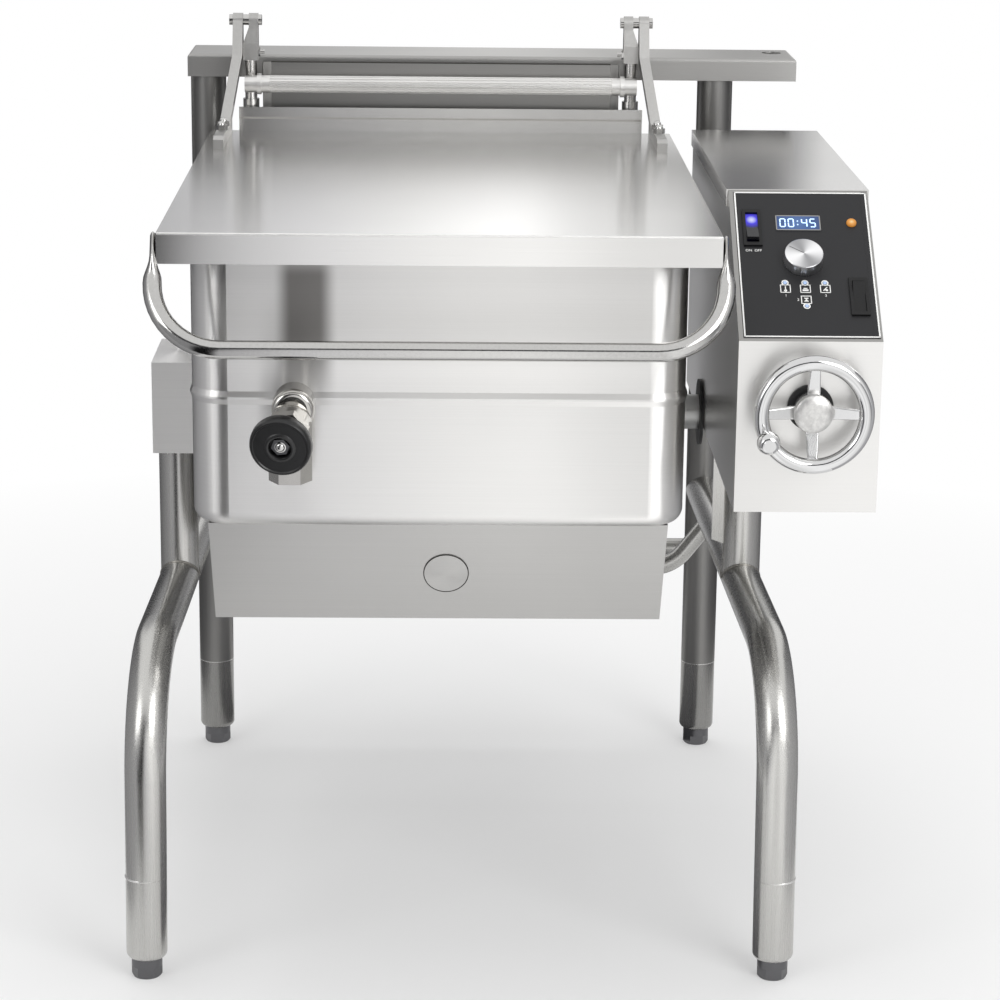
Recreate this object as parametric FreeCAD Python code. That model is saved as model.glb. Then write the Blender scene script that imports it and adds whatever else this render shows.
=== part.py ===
import FreeCAD, Part
import math
import os

os.makedirs("parts", exist_ok=True)

# Tilting skillet (braising pan) on open tubular legs, in millimetres.
# +X to the user's right, +Y away from the user, +Z up.
# While it is built, X = 0 is midway between the legs and Y = 0 is at the front feet.

# Leg frame: bent front legs and rails, upright rear legs, mid posts
tube_od = 50.8
tube_wall = 2.0
leg_span = 730.0
frame_depth = 869.0
rail_height = 400.0
leg_bend_radius = 140.0
toe_angle = 1.35
splay_angle = 0.6
leg_end_top = 132.0
leg_end_bottom = 25.0
leg_end_round = 8.0
leg_end_bore_depth = 85.0
leg_end_spigot = 22.0
seam_chamfer = 0.8
rear_rail_od = 25.4
rear_rail_wall = 1.6
rear_rail_height = 310.0
brace_drop = 78.0
brace_setback = 149.0
brace_bend_radius = 60.0
brace_run = 60.0

# Screw-in levelling feet
foot_neck_radius = 19.0
foot_neck_length = 70.0
foot_hex_height = 14.0
foot_hex_flats = 33.0
foot_chamfer = 2.0

# Faucet beam across the rear legs
beam_left_gap = 0.2
beam_right_reach = 114.0
beam_height = 32.0
beam_top = 1045.0
beam_depth = 120.0
beam_sheet = 2.0
beam_bend_radius = 5.0
faucet_hole_radius = 14.3
faucet_hole_from_end = 28.0
faucet_hole_from_front = 78.0

# Tilting axis, trunnions and their bearings
post_y = 402.0
trunnion_z = 629.0
trunnion_radius = 23.0
barrel_radius = 36.0
bush_wall = 4.0
left_barrel_length = 38.0
left_barrel_offset = 1.0
right_barrel_inner = leg_span / 2.0 - 35.0
right_barrel_length = 56.0
base_plate_thickness = 8.0
base_plate_depth = 124.0
base_plate_reach = 8.0
bearing_box_sheet = 2.0
bearing_box_gap = 0.4
bearing_box_front = 57.0
bearing_box_back = 93.0
bearing_box_top = 74.0
bearing_box_bottom = 47.0
seal_radius = 43.5
seal_thickness = 4.0
gusset_thickness = 6.0
gusset_width = 15.0
gusset_bottom = 454.0
gusset_slant = 14.0

# Fits
running_clearance = 0.05
loose_clearance = 0.3

# Pan: outer jacket, cooking vessel inside it, heating and lower housing
pan_x = -30.5
pan_side_room = 71.0
pan_half_width = leg_span / 2.0 - pan_side_room
pan_front = -15.0
pan_rear_room = 64.0
pan_length = frame_depth - pan_rear_room
pan_bottom = 582.0
pan_corner_radius = 45.0
pan_edge_radius = 18.0
jacket_sheet = 2.0
jacket_gap = 12.0
vessel_wall = 3.0
vessel_floor_z = 709.0
vessel_floor_thickness = 10.0
vessel_fillet = 14.0
rim_top = 938.6
rim_thickness = 3.0
rim_overhang = 22.0
rim_rear_overhang = 10.0
bead_z = 740.0
bead_height = 16.0
bead_depth = 2.5
lip_half_width = 110.0
lip_depth = 14.0
lip_reach = 25.0
element_radius = 5.0
element_bend_radius = 45.0
element_count = 3
element_margin = 70.0
clamp_width = 18.0
clamp_thickness = 4.0
shroud_sheet = 1.5
shroud_side_inset = 18.5
shroud_taper = 4.0
shroud_half_top = pan_half_width - shroud_side_inset
shroud_half_bottom = shroud_half_top - shroud_taper
shroud_front_top = 5.0
shroud_lean = 45.0
shroud_end_room = 55.0
shroud_length = pan_length - shroud_end_room
shroud_bottom = 450.0
knockout_radius = 26.0
knockout_x = -21.0
knockout_z = 514.0
knockout_lip = 1.0

# Lid, its side arms and lift handle
lid_side_overhang = 33.0
lid_half_width = pan_half_width + lid_side_overhang
lid_front = -46.0
lid_end_overhang = 50.0
lid_length = pan_length + lid_end_overhang
lid_top = 941.0
lid_sheet = 2.0
lid_skirt = 36.0
upstand_side_inset = 40.0
upstand_half_width = lid_half_width - upstand_side_inset
upstand_height = 34.0
upstand_step_height = 18.0
upstand_step = 3.0
pivot_to_leg = 45.0
lid_pivot_y = frame_depth - pivot_to_leg
lid_pivot_z = 1096.0
arm_thickness = 14.0
post_inset = 23.5
post_rel = pan_half_width - post_inset
arm_side_gap = 10.5
arm_top_inner = post_rel + arm_side_gap
arm_foot_set = 26.0
arm_foot_inner = post_rel + arm_foot_set
arm_eye_radius = 9.5
arm_knee_z = 1050.0
arm_foot_height = 17.0
arm_foot_reach = 202.0
arm_foot_front = lid_pivot_y - arm_foot_reach
arm_foot_nose = 9.0
arm_root_reach = 82.0
arm_root_depth = 59.0
arm_root_front = lid_pivot_y - arm_root_reach
arm_root_back = arm_root_front + arm_root_depth
arm_bolt_radius = 4.0
arm_nut_flats = 14.0
arm_nut_height = 7.0
arm_nut_back = 14.0
arm_nut_spacing = 38.0
handle_radius = 11.1
handle_corner_radius = 80.0
handle_root_back = 16.0
handle_root_y = lid_front + handle_root_back
handle_root_drop = 16.0
handle_root_z = lid_top - handle_root_drop
handle_bar_reach = 65.0
handle_bar_y = handle_root_y - handle_bar_reach
handle_bar_drop = 110.0
handle_bar_z = handle_root_z - handle_bar_drop
handle_strap_thickness = 8.0
handle_strap_width = 30.0
handle_strap_above = 10.0
handle_strap_below = 27.0
handle_transition = 20.0

# Lid hinge carried by the pan: posts, heads, pins and the spring tube
post_radius = 8.5
socket_radius = 11.5
socket_bottom = 660.0
socket_top = 985.0
head_half_width = 10.5
head_inner = post_rel - head_half_width - 0.5
head_outer = post_rel + head_half_width - 0.5
head_eye_outer = head_inner + 13.0
head_bottom = 1040.0
head_neck_z = 1064.0
head_depth = 26.0
post_bracket_width = 14.0
post_bracket_height = 200.0
pin_radius = 5.0
pin_head_radius = 7.5
pin_head_height = 5.0
pinch_bolt_radius = 3.0
pinch_bolt_reach = 9.0
spring_tube_radius = 12.25
spring_tube_z = 1008.0
spring_tube_overrun = 7.5
spring_tube_end = post_rel + spring_tube_overrun
spring_tube_flutes = 18
flute_radius = 1.2
collar_radius = 14.8
collar_width = 12.0
collar_from_post = 16.0
collar_inner = post_rel - collar_from_post

# Draw-off valve on the pan front
valve_x = -201.0
valve_z = 735.0
nipple_radius = 25.0
nipple_bore = 18.0
nipple_reach = 43.0
stem_point = (-203.9, -60.0, 721.9)
stem_yaw = 8.1
stem_pitch = 14.3
valve_barrel_radius = 23.0
valve_barrel_back = 18.0
valve_barrel_front = 16.0
valve_bore = 15.0
bonnet_flats = 46.0
bonnet_length = 12.0
outlet_flats = 44.0
outlet_bottom = 652.0
outlet_bore = 15.0
stem_radius = 6.0
plug_radius = 14.6
plug_thickness = 9.0
plug_lift = 8.0
knob_radius = 36.5
knob_length = 28.0
knob_gap = 10.0
knob_scallops = 12
knob_scallop_radius = 7.0
knob_recess_radius = 12.7
knob_recess_depth = 10.0
knob_nut_flats = 13.0
knob_nut_height = 6.0

# Console housing on the right bearing
console_inset = 48.5
console_left = leg_span / 2.0 - console_inset
console_width = 168.0
console_front = -60.0
console_back = 640.0
console_bottom = 617.0
console_break_z = 822.0
console_top = 970.0
console_top_front = 125.0
console_sheet = 2.0
cover_flange = 21.0
cover_gap = 0.2
label_margin_left = 5.5
label_margin_right = 10.0
label_margin_end = 5.0
label_thickness = 0.8

# Controls, placed by X and by distance up the sloping panel
rocker_bezel_width = 22.0
rocker_bezel_length = 57.0
rocker_bezel_height = 2.6
rocker_body_depth = 22.0
rocker_width = 14.0
rocker_half_length = 21.0
rocker_rise = 4.6
rocker_dip = 2.6
rocker_pivot_depth = 5.0
rocker_pin_radius = 1.4
rocker_pin_length = 1.2
rocker_tilt = 9.0
power_rocker_inset = 25.0
power_rocker_x = console_left + power_rocker_inset
power_rocker_v = 173.5
mode_rocker_inset = 145.0
mode_rocker_x = console_left + mode_rocker_inset
mode_rocker_v = 67.0
display_inset = 80.5
display_x = console_left + display_inset
display_v = 182.0
display_width = 52.0
display_height = 22.0
display_rise = 1.6
lamp_inset = 144.5
lamp_x = console_left + lamp_inset
lamp_v = 182.6
lamp_radius = 6.0
lamp_rise = 3.0
temp_knob_inset = 82.5
temp_knob_x = console_left + temp_knob_inset
temp_knob_v = 122.0
temp_knob_radius = 22.5
temp_knob_height = 20.0
temp_knob_skirt = 4.0
temp_knob_flutes = 24
temp_knob_flute_radius = 0.9
temp_shaft_radius = 3.0
led_radius = 2.2
led_rise = 0.8
led_upper_v = 88.5
led_lower_v = 53.0
led_spacing = 23.5
board_depth = 30.0
board_thickness = 1.6

# Worm drive and handwheel
gear_module = 4.0
wheel_teeth = 48
wheel_face = 16.0
wheel_inset = 85.5
wheel_x = console_left + wheel_inset
wheel_addendum = 3.5
wheel_dedendum = 5.0
wheel_tooth_width = 6.0
wheel_hub_radius = 34.0
sector_start_angle = 15.0
sector_end_angle = 105.0
worm_pitch_radius = 19.0
worm_addendum = 4.0
worm_dedendum = 5.0
worm_thread_width = 5.2
worm_length = 60.0
pressure_angle = 20.0
worm_shaft_radius = 8.0
worm_shoulder_radius = 13.0
block_thickness = 12.0
block_half_width = 16.0
block_half_height = 17.0
block_spacing = 104.0
bracket_sheet = 4.0
bracket_offset = 26.0
bracket_foot = 40.0
worm_bush_wall = 4.0
shaft_tail = 8.0
trunnion_stub_radius = 12.0
sector_washer_radius = 29.0
sector_washer_thickness = 4.0
sector_nut_flats = 36.0
sector_nut_height = 9.0
handwheel_y = -100.0
handwheel_ring_radius = 61.0
handwheel_rim_radius = 9.0
handwheel_hub_radius = 21.0
handwheel_hub_length = 26.0
handwheel_dish = 16.0
spoke_count = 4
spoke_hub_width = 17.0
spoke_rim_width = 11.0
spoke_thickness = 7.0
crank_angle = 206.0
crank_stud_radius = 4.5
crank_neck_radius = 6.5
crank_knob_radius = 12.0
crank_knob_length = 30.0
crank_knob_gap = 3.0
crank_head_height = 2.5
grommet_radius = 27.0
grommet_thickness = 4.0

V = FreeCAD.Vector
X_DIR = V(1, 0, 0)
Y_DIR = V(0, 1, 0)
Z_DIR = V(0, 0, 1)
tube_radius = tube_od / 2.0
far = 3000.0


def box(x0, x1, y0, y1, z0, z1):
    return Part.makeBox(x1 - x0, y1 - y0, z1 - z0, V(x0, y0, z0))


def rod(radius, start, end):
    axis = end - start
    return Part.makeCylinder(radius, axis.Length, start, axis)


def pipe(outer, inner, start, end):
    return rod(outer, start, end).cut(rod(inner, start, end))


def prism(points, sweep):
    outline = Part.makePolygon(points + points[:1])
    return Part.Face(outline).extrude(sweep)


def side_prism(points, x0, x1):
    return prism([V(x0, y, z) for y, z in points], V(x1 - x0, 0, 0))


def hexagon(flats, start, axis, length):
    across = Part.Circle(V(0, 0, 0), Z_DIR, flats / math.sqrt(3.0))
    corners = [across.value(math.radians(60 * i)) for i in range(6)]
    solid = prism(corners, V(0, 0, length))
    turn = FreeCAD.Rotation(Z_DIR, axis)
    solid.Placement = FreeCAD.Placement(start, turn)
    return solid


def rounded_slab(half_x, y0, y1, radius, z0, z1, centre_x):
    slab = box(centre_x - half_x, centre_x + half_x, y0, y1, z0, z1)
    upright = [e for e in slab.Edges if abs(e.tangentAt(e.FirstParameter).z) > 0.5]
    return slab.makeFillet(radius, upright)


def rounded_path(points, radius):
    edges = []
    here = points[0]
    for before, corner, after in zip(points, points[1:], points[2:]):
        back = (before - corner).normalize()
        ahead = (after - corner).normalize()
        half = back.getAngle(ahead) / 2.0
        leg = radius / math.tan(half)
        first = corner + back * leg
        last = corner + ahead * leg
        inward = (back + ahead).normalize()
        middle = corner + inward * (radius / math.sin(half) - radius)
        edges.append(Part.LineSegment(here, first).toShape())
        edges.append(Part.Arc(first, middle, last).toShape())
        here = last
    edges.append(Part.LineSegment(here, points[-1]).toShape())
    return Part.Wire(edges)


def bent_rod(points, bend, radius):
    path = rounded_path(points, bend)
    ring = Part.Circle(points[0], points[1] - points[0], radius).toShape()
    return path.makePipeShell([Part.Wire(ring)], True, False)


def bent_tube(points, bend, outer, wall):
    return bent_rod(points, bend, outer).cut(bent_rod(points, bend, outer - wall))


def mirrored(shape, centre_x):
    return shape.mirror(V(centre_x, 0, 0), X_DIR)


def group(solids):
    return Part.Compound(solids)


# Side frames: each front leg bends back into a rail that is coped onto its rear leg.
# The rails toe outwards from the rear legs and the front legs splay a little further.


def side_placement(side):
    splay = FreeCAD.Placement(V(0, 0, 0), FreeCAD.Rotation(Y_DIR, -side * splay_angle),
                              V(0, 0, rail_height))
    toe = FreeCAD.Placement(V(side * leg_span / 2.0, 0, 0),
                            FreeCAD.Rotation(Z_DIR, side * toe_angle),
                            V(0, frame_depth, 0))
    return toe.multiply(splay)


def placed(shape, placement):
    moved = shape.copy()
    moved.Placement = placement.multiply(moved.Placement)
    return moved


def rear_leg_base(side):
    return V(side * leg_span / 2.0, frame_depth, 0)


def rail_line():
    return [V(0, 0, leg_end_top), V(0, 0, rail_height), V(0, frame_depth, rail_height)]


def rail_envelope(side):
    return placed(bent_rod(rail_line(), leg_bend_radius, tube_radius), side_placement(side))


def side_frame(side):
    tube = bent_tube(rail_line(), leg_bend_radius, tube_radius, tube_wall)
    base = rear_leg_base(side)
    return placed(tube, side_placement(side)).cut(rod(tube_radius, base, base + V(0, 0, far)))


def rear_leg(side):
    base = rear_leg_base(side)
    return pipe(tube_radius, tube_radius - tube_wall, base + V(0, 0, leg_end_top),
                base + V(0, 0, beam_top - beam_sheet))


def post_x(side):
    return side * (leg_span / 2.0 + (frame_depth - post_y) * math.tan(math.radians(toe_angle)))


def mid_post(side):
    x = post_x(side)
    post = pipe(tube_radius, tube_radius - tube_wall, V(x, post_y, rail_height),
                V(x, post_y, trunnion_z))
    cope = rod(barrel_radius, V(x - tube_od, post_y, trunnion_z),
               V(x + tube_od, post_y, trunnion_z))
    return post.cut(rail_envelope(side)).cut(cope)


def post_gusset():
    inner = post_x(1) - tube_radius - gusset_width
    edge = post_x(1)
    top = trunnion_z - barrel_radius
    points = [(inner, gusset_bottom), (inner, top), (edge, top),
              (edge, gusset_bottom - gusset_slant)]
    plate = prism([V(x, post_y - gusset_thickness / 2.0, z) for x, z in points],
                  V(0, gusset_thickness, 0))
    return plate.cut(rod(tube_radius, V(edge, post_y, 0), V(edge, post_y, far)))


def rear_cross_rail():
    left = V(-leg_span / 2.0, frame_depth, rear_rail_height)
    right = V(leg_span / 2.0, frame_depth, rear_rail_height)
    rail = pipe(rear_rail_od / 2.0, rear_rail_od / 2.0 - rear_rail_wall, left, right)
    for side in (-1, 1):
        base = rear_leg_base(side)
        rail = rail.cut(rod(tube_radius, base, base + V(0, 0, far)))
    return rail


def curved_brace():
    y = frame_depth - brace_setback
    half = leg_span / 2.0 + brace_setback * math.tan(math.radians(toe_angle))
    low = rail_height - brace_drop
    points = [V(-half, y, rail_height), V(brace_run - half, y, low),
              V(half - brace_run, y, low), V(half, y, rail_height)]
    brace = bent_tube(points, brace_bend_radius, rear_rail_od / 2.0, rear_rail_wall)
    return brace.cut(rail_envelope(-1)).cut(rail_envelope(1))


# Leg ends and levelling feet share one axis per leg.


def leg_axes():
    upright = [FreeCAD.Placement(rear_leg_base(side), FreeCAD.Rotation()) for side in (-1, 1)]
    return [side_placement(-1), side_placement(1)] + upright


def leg_end():
    sleeve = rod(tube_radius, V(0, 0, leg_end_bottom), V(0, 0, leg_end_top))
    lower = [e for e in sleeve.Edges if e.BoundBox.ZMax < leg_end_bottom + seam_chamfer]
    sleeve = sleeve.makeFillet(leg_end_round - running_clearance, lower)
    upper = [e for e in sleeve.Edges if e.BoundBox.ZMin > leg_end_top - seam_chamfer]
    sleeve = sleeve.makeChamfer(seam_chamfer, upper)
    spigot = rod(tube_radius - tube_wall, V(0, 0, leg_end_top),
                 V(0, 0, leg_end_top + leg_end_spigot))
    bore = rod(foot_neck_radius + running_clearance, V(0, 0, 0),
               V(0, 0, leg_end_bottom + leg_end_bore_depth))
    return sleeve.fuse(spigot).cut(bore)


def leg_ends():
    return group([placed(leg_end(), place) for place in leg_axes()])


def foot(place):
    pad = hexagon(foot_hex_flats, V(0, 0, -seam_chamfer), Z_DIR, foot_hex_height + seam_chamfer)
    crown = Part.makeCone(foot_hex_flats / 2.0, foot_hex_flats / 2.0 + foot_hex_height,
                          foot_hex_height, V(0, 0, 0))
    crown = crown.fuse(rod(foot_hex_flats / 2.0, V(0, 0, -seam_chamfer), V(0, 0, 0)))
    neck = rod(foot_neck_radius, V(0, 0, foot_hex_height),
               V(0, 0, foot_hex_height + foot_neck_length))
    solid = placed(pad.common(crown).fuse(neck), place)
    return solid.cut(box(-far, far, -far, far, -far, 0))


# Faucet beam: a folded channel, open below, that caps both rear legs.


def top_beam():
    beam_left = -leg_span / 2.0 - tube_radius - beam_left_gap - beam_sheet
    beam_right = leg_span / 2.0 + beam_right_reach
    front = frame_depth - tube_radius - beam_sheet
    back = front + beam_depth
    bottom = beam_top - beam_height
    shell = box(beam_left, beam_right, front, back, bottom, beam_top)
    folds = [e for e in shell.Edges if e.BoundBox.ZMin > beam_top - beam_sheet]
    shell = shell.makeFillet(beam_bend_radius, folds)
    hollow = box(beam_left + beam_sheet, beam_right - beam_sheet, front + beam_sheet,
                 back - beam_sheet, bottom, beam_top - beam_sheet)
    hole_x = beam_right - faucet_hole_from_end
    hole_y = front + faucet_hole_from_front
    hole = rod(faucet_hole_radius, V(hole_x, hole_y, bottom), V(hole_x, hole_y, beam_top + 1))
    return shell.cut(hollow).cut(hole)


# Trunnion bearings: a barrel on each mid post, with a bush that the trunnion turns in.


def axis_point(x):
    return V(x, post_y, trunnion_z)


def left_barrel_span():
    middle = post_x(-1) - left_barrel_offset
    return middle - left_barrel_length / 2.0, middle + left_barrel_length / 2.0


def right_barrel_span():
    return right_barrel_inner, right_barrel_inner + right_barrel_length


def bearing_housing_left():
    x0, x1 = left_barrel_span()
    return pipe(barrel_radius, trunnion_radius + bush_wall, axis_point(x0), axis_point(x1))


def bearing_housing_right():
    x0, x1 = right_barrel_span()
    barrel = rod(barrel_radius, axis_point(x0), axis_point(x1))
    plate = box(x0 - base_plate_reach, x1, post_y - base_plate_depth / 2.0,
                post_y + base_plate_depth / 2.0, console_bottom - base_plate_thickness,
                console_bottom)
    bore = rod(trunnion_radius + bush_wall, axis_point(x0 - tube_od), axis_point(x1 + tube_od))
    return barrel.fuse(plate).cut(bore)


def bearing_bushes():
    bushes = []
    for x0, x1 in (left_barrel_span(), right_barrel_span()):
        bushes.append(pipe(trunnion_radius + bush_wall, trunnion_radius + running_clearance,
                           axis_point(x0), axis_point(x1)))
    return bushes


def bearing_box_left():
    reach = tube_radius + bearing_box_gap + bearing_box_sheet
    x0 = post_x(-1) - reach
    x1 = post_x(-1) + reach
    sheet = bearing_box_sheet
    y0 = post_y - bearing_box_front
    y1 = post_y + bearing_box_back
    z0 = trunnion_z - bearing_box_bottom
    z1 = trunnion_z + bearing_box_top
    shell = box(x0, x1, y0, y1, z0, z1)
    hollow = box(x0 + sheet, x1 - sheet, y0 + sheet, y1 - sheet, z0, z1 - sheet)
    slot = rod(trunnion_radius + loose_clearance, axis_point(x1 - sheet - 1), axis_point(x1 + 1))
    return shell.cut(hollow).cut(slot)


def trunnion_seal():
    return pipe(seal_radius, trunnion_radius + loose_clearance,
                axis_point(console_left - seal_thickness), axis_point(console_left))


# Pan: jacket outside, cooking vessel inside, joined under the rim flange.


def pan_slab(inset, radius, z0, z1):
    return rounded_slab(pan_half_width - inset, pan_front + inset,
                        pan_front + pan_length - inset, radius - inset, z0, z1, pan_x)


def soft_bottom(slab, z, radius):
    lower = [e for e in slab.Edges if e.BoundBox.ZMax < z + 1]
    return slab.makeFillet(radius, lower)


def bead_outline(inset, z):
    slab = pan_slab(inset, pan_corner_radius, z, z + 1)
    lower = [f for f in slab.Faces if f.BoundBox.ZMax < z + 1.0 / 2]
    return lower[0].OuterWire


def pan_jacket():
    top = rim_top - rim_thickness
    outer = pan_slab(0, pan_corner_radius, pan_bottom, top)
    outer = soft_bottom(outer, pan_bottom, pan_edge_radius)
    bead = Part.makeLoft([bead_outline(0, bead_z - bead_height / 2.0),
                          bead_outline(-bead_depth, bead_z - bead_depth / 2.0),
                          bead_outline(-bead_depth, bead_z + bead_depth / 2.0),
                          bead_outline(0, bead_z + bead_height / 2.0)], True, True)
    inner = pan_slab(jacket_sheet, pan_corner_radius, pan_bottom + jacket_sheet, top)
    inner = soft_bottom(inner, pan_bottom + jacket_sheet, pan_edge_radius - jacket_sheet)
    hole = rod(nipple_radius, V(valve_x, pan_front - far, valve_z),
               V(valve_x, pan_front + pan_length / 2.0, valve_z))
    notch = box(pan_x - lip_half_width, pan_x + lip_half_width, pan_front - lip_reach,
                pan_front + jacket_gap, rim_top - lip_depth, rim_top)
    return outer.fuse(bead).cut(inner).cut(hole).cut(notch)


def pan_vessel():
    inset = jacket_sheet + jacket_gap
    base = vessel_floor_z - vessel_floor_thickness
    outer = pan_slab(inset, pan_corner_radius, base, rim_top)
    flange = box(pan_x - pan_half_width - rim_overhang, pan_x + pan_half_width + rim_overhang,
                 pan_front - rim_overhang, pan_front + pan_length + rim_rear_overhang,
                 rim_top - rim_thickness, rim_top)
    corners = [e for e in flange.Edges if abs(e.tangentAt(e.FirstParameter).z) > 0.5]
    flange = flange.makeFillet(rim_overhang / 2.0, corners)
    cavity = pan_slab(inset + vessel_wall, pan_corner_radius, vessel_floor_z, rim_top + 1)
    cavity = soft_bottom(cavity, vessel_floor_z, vessel_fillet)
    wall = vessel_wall
    spout = box(pan_x - lip_half_width, pan_x + lip_half_width, pan_front - lip_reach,
                pan_front + inset, rim_top - lip_depth, rim_top)
    channel = box(pan_x - lip_half_width + wall, pan_x + lip_half_width - wall,
                  pan_front - lip_reach - 1, pan_front + inset + wall + 1,
                  rim_top - lip_depth + wall, rim_top + 1)
    hole = rod(nipple_bore, V(valve_x, pan_front, valve_z),
               V(valve_x, pan_front + inset + vessel_wall + 1, valve_z))
    return outer.fuse(flange).fuse(spout).cut(cavity).cut(channel).cut(hole)


def heater_plane():
    return vessel_floor_z - vessel_floor_thickness - element_radius


def heating_elements():
    y0 = pan_front + element_margin
    y1 = pan_front + pan_length - element_margin
    pitch = 2.0 * (pan_half_width - element_margin) / element_count
    z = heater_plane()
    loops = []
    for i in range(element_count):
        x = pan_x + pitch * (i - (element_count - 1) / 2.0)
        points = [V(x - element_bend_radius, y1, z), V(x - element_bend_radius, y0, z),
                  V(x + element_bend_radius, y0, z), V(x + element_bend_radius, y1, z)]
        loops.append(bent_rod(points, element_bend_radius * 0.9, element_radius))
    return loops


def element_clamps():
    half = pan_half_width - element_margin
    top = heater_plane() - element_radius
    clamps = []
    for share in (0.25, 0.75):
        y = pan_front + pan_length * share
        clamps.append(box(pan_x - half, pan_x + half, y, y + clamp_width,
                          top - clamp_thickness, top))
    return clamps


def shroud_outline(inset, half, front, back, z):
    points = [V(pan_x - half + inset, front + inset, z), V(pan_x + half - inset, front + inset, z),
              V(pan_x + half - inset, back - inset, z), V(pan_x - half + inset, back - inset, z)]
    return Part.makePolygon(points + points[:1])


def shroud_body(inset, floor):
    back = shroud_front_top + shroud_length
    upper = shroud_outline(inset, shroud_half_top, shroud_front_top, back, pan_bottom)
    lower = shroud_outline(inset, shroud_half_bottom, shroud_front_top + shroud_lean,
                           back - shroud_lean, shroud_bottom + floor)
    return Part.makeLoft([lower, upper], True, True)


def knockout_line():
    drop = pan_bottom - shroud_bottom
    lean = math.atan2(shroud_lean, drop)
    y = shroud_front_top + (pan_bottom - knockout_z) * math.tan(lean)
    return V(knockout_x, y, knockout_z), V(0, -math.cos(lean), -math.sin(lean))


def shroud():
    centre, outward = knockout_line()
    hole = rod(knockout_radius, centre - outward * knockout_radius,
               centre + outward * knockout_radius)
    return shroud_body(0, 0).cut(shroud_body(shroud_sheet, shroud_sheet)).cut(hole)


def knockout_disc():
    centre, outward = knockout_line()
    plug = rod(knockout_radius, centre - outward * shroud_sheet, centre)
    face = rod(knockout_radius + knockout_lip, centre, centre + outward * knockout_lip)
    return plug.fuse(face)


def trunnion_left():
    return rod(trunnion_radius, axis_point(left_barrel_span()[0] - bearing_box_gap),
               axis_point(pan_x - pan_half_width))


def trunnion_right():
    shoulder = axis_point(wheel_x + wheel_face / 2.0)
    end = shoulder + X_DIR * (sector_washer_thickness + sector_nut_height)
    return rod(trunnion_radius, axis_point(pan_x + pan_half_width), shoulder).fuse(
        rod(trunnion_stub_radius, shoulder, end))


def sector_nut():
    start = axis_point(wheel_x + wheel_face / 2.0)
    washer = pipe(sector_washer_radius, trunnion_stub_radius, start,
                  start + X_DIR * sector_washer_thickness)
    start = start + X_DIR * sector_washer_thickness
    nut = hexagon(sector_nut_flats, start, X_DIR, sector_nut_height)
    return group([washer, nut.cut(rod(trunnion_stub_radius, start, start + X_DIR * far))])


# Worm drive: a worm on the handwheel shaft meshes with a toothed sector on the trunnion.


def wheel_pitch_radius():
    return gear_module * wheel_teeth / 2.0


def worm_z():
    return trunnion_z + wheel_pitch_radius() + worm_pitch_radius


def worm_lead():
    return math.pi * gear_module


def lead_angle():
    return math.atan2(worm_lead(), 2.0 * math.pi * worm_pitch_radius)


def sector_point(radius, offset, angle):
    turn = math.radians(angle)
    y = post_y + radius * math.cos(turn) - offset * math.sin(turn)
    z = trunnion_z + radius * math.sin(turn) + offset * math.cos(turn)
    return y, z


def flank(width, height):
    return width / 2.0 - height * math.tan(math.radians(pressure_angle))


def sector_profile(twist):
    pitch = 360.0 / wheel_teeth
    root = wheel_pitch_radius() - wheel_dedendum
    tip = wheel_pitch_radius() + wheel_addendum
    foot_half = flank(wheel_tooth_width, -wheel_dedendum)
    tip_half = flank(wheel_tooth_width, wheel_addendum)
    first = math.ceil((sector_start_angle - 90.0) / pitch)
    last = math.floor((sector_end_angle - 90.0) / pitch)
    points = [(post_y, trunnion_z)]
    for tooth in range(first, last + 1):
        angle = 90.0 + tooth * pitch + twist
        points.append(sector_point(root, -foot_half, angle))
        points.append(sector_point(tip, -tip_half, angle))
        points.append(sector_point(tip, tip_half, angle))
        points.append(sector_point(root, foot_half, angle))
    return points


def worm_sector():
    half = wheel_face / 2.0
    twist = math.degrees(half * math.tan(lead_angle()) / wheel_pitch_radius())
    outlines = []
    for side in (-1, 1):
        points = [V(wheel_x + side * half, y, z) for y, z in sector_profile(side * twist)]
        outlines.append(Part.makePolygon(points + points[:1]))
    teeth = Part.makeLoft(outlines, True, True)
    hub = rod(wheel_hub_radius, axis_point(wheel_x - half), axis_point(wheel_x + half))
    bore = rod(trunnion_radius, axis_point(wheel_x - far), axis_point(wheel_x + far))
    return teeth.fuse(hub).cut(bore)


def worm_point(y):
    return V(wheel_x, y, worm_z())


def worm_thread():
    lead = worm_lead()
    turns = math.ceil(worm_length / lead / 2.0 + 0.5)
    start = post_y - turns * lead
    root = worm_pitch_radius - worm_dedendum - running_clearance
    tip = worm_pitch_radius + worm_addendum
    foot_half = flank(worm_thread_width, root - worm_pitch_radius)
    tip_half = flank(worm_thread_width, worm_addendum)
    helix = Part.makeHelix(lead, 2 * turns * lead, worm_pitch_radius)
    profile = [V(root, 0, -foot_half), V(tip, 0, -tip_half), V(tip, 0, tip_half),
               V(root, 0, foot_half)]
    outline = Part.makePolygon(profile + profile[:1])
    thread = Part.Wire(helix.Edges).makePipeShell([outline], True, True)
    turn = FreeCAD.Rotation(Z_DIR, Y_DIR)
    phase = FreeCAD.Rotation(Z_DIR, -90.0)
    thread.Placement = FreeCAD.Placement(worm_point(start), turn.multiply(phase))
    keep = rod(tip + 1, worm_point(post_y - worm_length / 2.0),
               worm_point(post_y + worm_length / 2.0))
    return thread.common(keep)


def block_faces(y):
    return y - block_thickness / 2.0, y + block_thickness / 2.0


def block_centres():
    return post_y - block_spacing / 2.0, post_y + block_spacing / 2.0


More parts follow.
